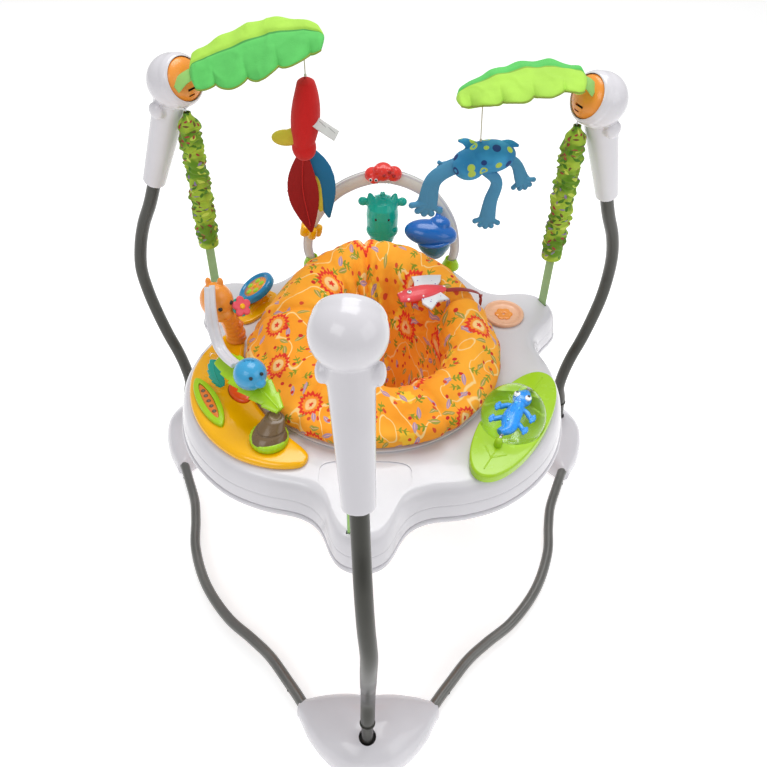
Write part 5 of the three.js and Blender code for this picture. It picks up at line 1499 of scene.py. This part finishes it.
def make_seat():
    turns, rows = 300, 130
    rings = []
    layouts = []
    for k in range(turns):
        azimuth = 360 * k / turns
        control, inner = seat_profile(azimuth)
        line = smooth_line(control, rows)
        lengths = [0.0]
        for a, b in zip(line, line[1:]):
            lengths.append(lengths[-1] + (b - a).length)
        crest_at = max(range(rows + 1), key=lambda i: line[i].z)
        outer_at = max(range(rows + 1), key=lambda i: line[i].y)
        seam_gap = min(abs((azimuth - seam + 180) % 360 - 180) for seam in SEAT_SEAMS)
        seam_arc = radians(seam_gap) * 150
        ring = []
        layout = []
        for i, place in enumerate(line):
            tangent = (line[min(i + 1, rows)] - line[max(i - 1, 0)]).normalized()
            outward = Vector((0, tangent.z, -tangent.y))
            if outward.dot(place - Vector((0, (SEAT_RADIUS + inner) / 2, 440))) < 0:
                outward = -outward
            point = polar(place.y, azimuth, place.z)
            inside = ease(i, crest_at - 4, crest_at + 34)
            body = ease(place.z, 436, 452) if i > outer_at - 8 else 0.0
            body *= 1 - 0.75 * ease(430 - place.z, 0, 40)
            wander = noise.noise(point / 70) * 16
            ribs = waves(cos(radians(azimuth + wander)) * 3.6, sin(radians(azimuth + wander)) * 3.6,
                         place.z / 300)
            crease = 1 - min(1.0, abs(ribs) * 4.2)
            slow = noise.noise(point / 55)
            fine = noise.noise(point / 21)
            wrinkle = 1 - min(1.0, abs(waves(point.x / 34, point.y / 34, point.z / 16 + 5)) * 4)
            fold = 1 - min(1.0, abs(waves(point.x / 70 + 3, point.y / 70, point.z / 110)) * 3.4)
            push = body * (4.2 * slow + 1.6 * fine - 13.0 * inside * crease
                           - 3.4 * wrinkle * (0.3 + 0.7 * inside)
                           + 2.2 - 5.5 * fold * fold * (0.4 + 0.6 * inside))
            push -= body * 5.0 * exp(-(seam_arc / 4.0) ** 2) * (1 - 0.5 * inside)
            push += body * 2.2 * exp(-((seam_arc - 14) / 9.0) ** 2)
            for where, depth in SEAT_FOLDS:
                gap = (azimuth + wander * 0.4 - where + 180) % 360 - 180
                reach = radians(abs(gap)) * max(place.y, 60)
                push -= body * 1.35 * depth * (0.14 + 0.86 * inside) * exp(-(reach / 5.5) ** 2)
            direction = polar(outward.y, azimuth, outward.z)
            ring.append(point + direction * min(push, 6.0))
            flat = 0.15 + (lengths[crest_at] - lengths[i]) / 1000 * (0.72 if i > crest_at else 1.0)
            if flat < 0.085:
                flat = 0.085 + (0.085 - flat) * 1.1
            layout.append((flat * cos(radians(azimuth)), flat * sin(radians(azimuth))))
        rings.append(ring)
        layouts.extend(layout)
    points = [p for ring in rings for p in ring]
    legs = []
    for sign in (-1, 1):
        facing = SEAT_BACK_AZIMUTH + 180 + sign * 42
        shift = Vector((WELL_CENTRE[0], WELL_CENTRE[1], 0))
        legs.append((polar(30, facing, 312) + shift, polar(1, facing, -0.1).normalized()))
    faces = []
    for k in range(turns):
        a, b = k * (rows + 1), ((k + 1) % turns) * (rows + 1)
        for i in range(rows):
            face = (a + i, a + i + 1, b + i + 1, b + i)
            middle = sum((points[j] for j in face), Vector()) / 4
            in_leg = False
            for start, way in legs:
                along = (middle - start).dot(way)
                aside = (middle - start - way * along).length
                in_leg = in_leg or (along > 0 and aside < 40 and middle.z < 360)
            if not in_leg:
                faces.append(face)
    pad = make("seat_pad_cloth", (points, faces), SEAT_CLOTH, None, (), 0, True, layouts)
    thick = pad.modifiers.new("thickness", "SOLIDIFY")
    thick.thickness = 0.0016
    thick.offset = -1
    baked(pad)
    finish_piece(pad, SEAT_CLOTH, "seat", "seat_pad")
    base_shape = spun((0, 0, 262.4), (0, 0, 1), [(0, 40), (0.6, 58), (2.6, 60.5), (4.4, 58), (4.8, 20)], 72)
    floor = make("seat_pad_floor", base_shape, SEAT_CLOTH, "seat", (), 0, True,
                 [(p.x / 1000, p.y / 1000) for p in base_shape[0]])
    piping = []
    for k in range(240):
        azimuth = 360 * k / 240
        piping.append([polar(SEAT_RADIUS - 16.5 + 2.0 * cos(turn), azimuth, 437.4 + 2.0 * sin(turn))
                       for turn in (tau * j / 10 for j in range(10))])
    edge = make("seat_pad_piping", hoop(piping), ORANGE_CLOTH, "seat")


ORANGE_CLOTH = fabric("orange_cloth", (0.93, 0.33, 0.03), 420.0)
make_seat()


def make_teether():
    line = [(174, 86, 480), (172, 83, 502), (142, 67, 525), (112, 56, 532)]
    strap = make("teether_strap_ribbon", bar(line, (4.5, 1.1), 14, 60, (-0.3, -0.2, 0.93)), RIBBON,
                 "teether_body",
                 "teether_strap")
    length = sum((Vector(b) - Vector(a)).length for a,
                 b in zip(smooth_line(line, 60), smooth_line(line, 60)[1:]))
    body = bar([(38, 31, 534), (56, 37, 536), (82, 45, 537), (111, 55.4, 536)],
               lambda share: (3.5 + 12.5 * swell(share, 0.18, 0.78), 4 + 4.4 * sin(pi * share)), 32, 60,
               (0, 0, 1))
    melt("teether_fish", [body, blob((78, 44, 536), (12, 9, 6), 32, 18)], 0.8, TEETHER_PINK, "teether_body",
         "teether", 3)
    fins = [slab([(62, 52), (80, 58), (98, 60), (104, 72), (106, 88), (82, 87), (58, 82), (62, 68)], 534,
                 538, 1.4),
            slab([(72, 38), (88, 42), (102, 46), (116, 28), (98, 22), (88, 2), (74, 16)], 534, 538, 1.4)]
    make("teether_fins", merged(*fins), TEETHER_FIN, "teether_body")
    make("teether_eye_white", blob((54, 35, 543.4), (3.8, 3.8, 1.6), 20, 10), EYE_WHITE, "teether_body")
    make("teether_eye", blob((54, 35, 544.4), (2.0, 2.0, 1.3), 16, 8), BLACK, "teether_body")


make_teether()


# ---- cloth leaves on the rear posts ----
def make_leaf(name, points, up, half_width, cloth, seam_at):
    steps = 120
    line = smooth_line(points, steps)
    up = Vector(up).normalized()
    rings = []
    layout = []
    outline = []
    across_count = 72
    for k, place in enumerate(line):
        share = k / steps
        tangent = (line[min(k + 1, steps)] - line[max(k - 1, 0)]).normalized()
        normal = (up - tangent * up.dot(tangent)).normalized()
        side = normal.cross(tangent)
        if side.y > 0:
            side = -side
        notch = 1 - abs(sin((share * 0.94 + 0.05) * pi * 4.5)) ** 0.55
        scallop = 1.05 - 0.32 * notch
        half = (8 + (half_width - 8) * swell(share, 0.1, 0.86, 0.7))
        close = sqrt(clamp(min(share, 1 - share) / 0.035))
        ring = []
        for i in range(across_count):
            turn = tau * i / across_count
            v = cos(turn)
            near = v > 0
            reach = half * (scallop if near else 0.97) * max(0.1, close)
            puff = abs(sin(turn)) ** 0.8
            ridge = 1 - 0.55 * exp(-((0.5 - 0.5 * v - seam_at) / 0.03) ** 2)
            spot = place + side * (v * reach)
            ripple = waves(spot.x / 26, spot.y / 16, spot.z / 30) * 1.6
            fan = cos((share * 9.4 + v * 0.5) * pi) * (1.6 * abs(v)) + crumple(spot) * 1.1
            if near:
                fan -= 5.0 * notch * v
            lift = copysign(puff * (6.6 * ridge) * max(0.25, close),
                            sin(turn)) + (ripple + fan) * max(0.2, close)
            ring.append(spot + normal * lift)
            layout.append((share * 0.2, 0.5 - 0.5 * v))
            if i == 0:
                outline.append(spot + normal * (ripple + fan) * 0.6)
        rings.append(ring)
    leaf = make(name + "_cloth", loft(rings), cloth, "frame", name, 1, True, layout)
    trim = make(name + "_trim", bar(outline[4:-4], 1.3, 10, 200), LEAF_TRIM, "frame")


def crumple(place):
    """Sharp-crested random creases, between 0 and 1."""
    return 1 - min(1.0, abs(waves(place.x / 30, place.y / 45, place.z / 30)) * 4.5)


LEAF_LEFT_LINE = [(-266, 166, 826), (-205, 168, 846), (-140, 170, 868), (-74, 176, 876)]
LEAF_RIGHT_LINE = [(290, 140, 838), (235, 142, 838), (175, 143, 826), (112, 143, 804)]
make_leaf("leaf_left", LEAF_LEFT_LINE, (0, -0.42, 0.9), 51, LEAF_LEFT_CLOTH, 0.66)
make_leaf("leaf_right", LEAF_RIGHT_LINE, (0, -0.1, 1), 50, LEAF_RIGHT_CLOTH, 0.74)


def soft_piece(name, shapes, voxel, cloth, body, replaces, relax=6):
    piece = melt(name, shapes, voxel, cloth, body, replaces, relax)
    return piece


def make_tab(name, points, body):
    tab = make(name, bar(points, (11, 1.1), 16, 24, (0, -0.4, 0.9)), MINT_CLOTH, body)


MINT_CLOTH = fabric("mint_tab_fabric", (0.38, 0.76, 0.20), 420.0)
make_tab("leaf_left_tab", [(-288, 158, 807), (-275, 162, 819), (-256, 167, 828)], "frame")
make_tab("leaf_right_tab", [(304, 138, 822), (293, 139, 832), (278, 140, 838)], "frame")


# ---- plush parrot and frog ----
def make_parrot():
    up = (0, -0.7, 0.7)
    body = bar([(-104, 182, 815.7), (-104, 182, 790), (-109, 182, 740), (-116, 182, 690)],
               lambda share: (5 + 17 * swell(share, 0.12, 0.78)) * sqrt(clamp(share / 0.05 + 0.04)), 40, 90)
    soft_piece("parrot_body_cloth", [body, blob((-108, 181, 742), (21, 19, 24), 32, 20),
                                     blob((-112, 182, 706), (19, 16, 22), 32, 20)],
               1.4, RED_PLUSH, "parrot_body", "parrot")
    soft_piece("parrot_beak_cloth",
               [blob((-139, 180, 722), (22, 9, 13), 32, 20), blob((-128, 181, 728), (12, 8, 9), 24, 14)],
               1.2, YELLOW_CLOTH, "parrot_body", ())
    wing = bar([(-114, 179, 700), (-118, 179, 640), (-108, 180, 552)],
               lambda share: (1.6 + 24 * swell(share, 0.06, 0.93), 3.8 - 2 * share), 28, 70, up)
    soft_piece("parrot_wing_red_cloth", [wing], 1.2, DARK_RED, "parrot_body", ())
    vein = bar([(-114, 174.6, 690), (-117.5, 174.6, 640), (-109, 175.6, 568)], 0.8, 8, 40)
    make("parrot_wing_red_seam", vein, RED_PLUSH, "parrot_body")
    wing = bar([(-110, 187, 705), (-90, 189, 660), (-78, 189, 575)],
               lambda share: (1.6 + 19 * swell(share, 0.06, 0.93), 3.0 - share), 28, 70, up)
    soft_piece("parrot_wing_blue_cloth", [wing], 1.2, BLUE_CLOTH, "parrot_body", ())
    lining = bar([(-116, 186, 700), (-103, 184.5, 655), (-90, 184.5, 590)],
                 lambda share: (2 + 8.5 * swell(share, 0.05, 0.9), 1.6), 24, 60, up)
    soft_piece("parrot_wing_lining_cloth", [lining], 1.0, YELLOW_CLOTH, "parrot_body", ())
    tag_line = [(-97, 172, 758), (-88, 168, 752), (-74, 164, 744), (-60, 163, 735)]
    tag = make("parrot_tag", bar(tag_line, (8.5, 0.35), 12, 30, (0.35, -0.75, 0.55)), TAG_CLOTH,
               "parrot_body")
    stitches = [bar([Vector(a) + Vector((2, -0.5, 4.5)), Vector(b) + Vector((-2, -0.5, 4.5))], 0.25, 6, 4)
                for a, b in zip(tag_line, tag_line[1:])]
    make("parrot_tag_stitches", merged(*stitches), BLACK_CLOTH, "parrot_body")


def make_frog():
    up = (0, -0.7, 0.7)
    shapes = [blob((167, 153, 711), (43, 31, 25), 40, 24, (-20, -8, 0)),
              blob((139, 141, 704), (26, 24, 23), 32, 20),
              blob((154, 150, 727), (11, 9, 9.6), 24, 16)]
    soft_piece("frog_body_cloth", shapes, 1.4, FROG_CLOTH, "frog_body", "frog")
    flaps = [bar([(146, 154, 723), (132, 156, 733), (121, 156, 735)], lambda share: (12 - 10 * share, 2.8),
                 20, 24, up),
             bar([(184, 154, 724), (198, 154, 732), (212, 152, 730)], lambda share: (12 - 10 * share, 2.8),
                 20, 24, up)]
    for k, flap in enumerate(flaps):
        soft_piece(f"frog_flap_{k}_cloth", [flap], 0.9, FROG_CLOTH, "frog_body", (), 4)
    legs = [
        ([(142, 145, 702), (112, 142, 696), (88, 140, 678), (80, 140, 638)], 15.5),
        ([(162, 140, 698), (182, 132, 682), (176, 127, 650), (174, 126, 622)], 12.5),
        ([(190, 158, 708), (212, 162, 696), (226, 162, 668)], 11.5),
        ([(150, 168, 702), (124, 176, 688), (110, 178, 678)], 9.5),
    ]
    for k, (line, half) in enumerate(legs):
        end = Vector(line[-1])
        fall = (end - Vector(line[-2])).normalized()
        spread = Vector((0, 1, 0)).cross(fall).normalized()
        shapes = [bar(line, lambda share: (half * (0.7 + 0.35 * share ** 2), 4.4), 24, 50, up)]
        palm = end + fall * (half * 0.55)
        shapes.append(bar([end - fall * 8, end, palm], lambda share: (half * (0.85 + 0.4 * share), 4.2), 24,
                          12, up))
        for toe in (-2, -1, 0, 1, 2):
            tip = end + spread * (toe * half * 0.72) + fall * (half * (1.35 - 0.17 * toe * toe))
            shapes.append(bar([end, tip - (tip - end) * 0.3, tip], (half * 0.32, 3.8), 16, 10, up))
            shapes.append(blob(tip, (half * 0.36, 4.0, half * 0.36), 20, 12))
        soft_piece(f"frog_leg_{k}_cloth", shapes, 1.0, FROG_LEG, "frog_body", (), 3)


BLACK_CLOTH = fabric("dark_thread", (0.05, 0.05, 0.05), 700.0, 0.1, 0.05)
make_parrot()
make_frog()


# ---- floor and light ----
def make_floor():
    mesh = bpy.data.meshes.new("floor")
    mesh.from_pydata([(-6, -6, -0.0005), (6, -6, -0.0005), (6, 6, -0.0005), (-6, 6, -0.0005)], [],
                     [(0, 1, 2, 3)])
    floor = bpy.data.objects.new("floor", mesh)
    bpy.context.scene.collection.objects.link(floor)
    paint = Paint("pale_floor", 0.7)
    haze = paint.noise(paint.place(), 1.2, 2.0)
    paint.colour(paint.mix(paint.step(haze, 0.3, 0.8), (0.95, 0.95, 0.95), (0.97, 0.97, 0.97)))
    paint.shader.inputs["Emission Color"].default_value = (1, 1, 1, 1)
    paint.shader.inputs["Emission Strength"].default_value = 0.42
    floor.data.materials.append(paint.material)


def make_light(name, place, aim, size, power, colour=(1, 1, 1)):
    data = bpy.data.lights.new(name, "AREA")
    data.shape = "RECTANGLE"
    data.size, data.size_y = size
    data.energy = power
    data.color = colour
    light = bpy.data.objects.new(name, data)
    bpy.context.scene.collection.objects.link(light)
    light.location = place
    light.rotation_euler = (Vector(aim) - Vector(place)).to_track_quat("-Z", "Y").to_euler()


def make_world():
    world = bpy.data.worlds.new("studio")
    bpy.context.scene.world = world
    world.use_nodes = True
    world.node_tree.nodes["Background"].inputs[0].default_value = (1, 1, 1, 1)
    world.node_tree.nodes["Background"].inputs[1].default_value = 0.47
    bpy.context.scene.view_settings.view_transform = "Standard"


make_floor()
make_light("key", (-1.2, -1.6, 2.6), (0, 0.05, 0.4), (1.6, 1.2), 15)
make_light("fill", (1.9, -0.9, 1.7), (0, 0.05, 0.4), (1.8, 1.4), 9)
make_light("top", (0.2, 0.9, 2.8), (0, 0.05, 0.4), (1.6, 1.6), 38)
make_world()
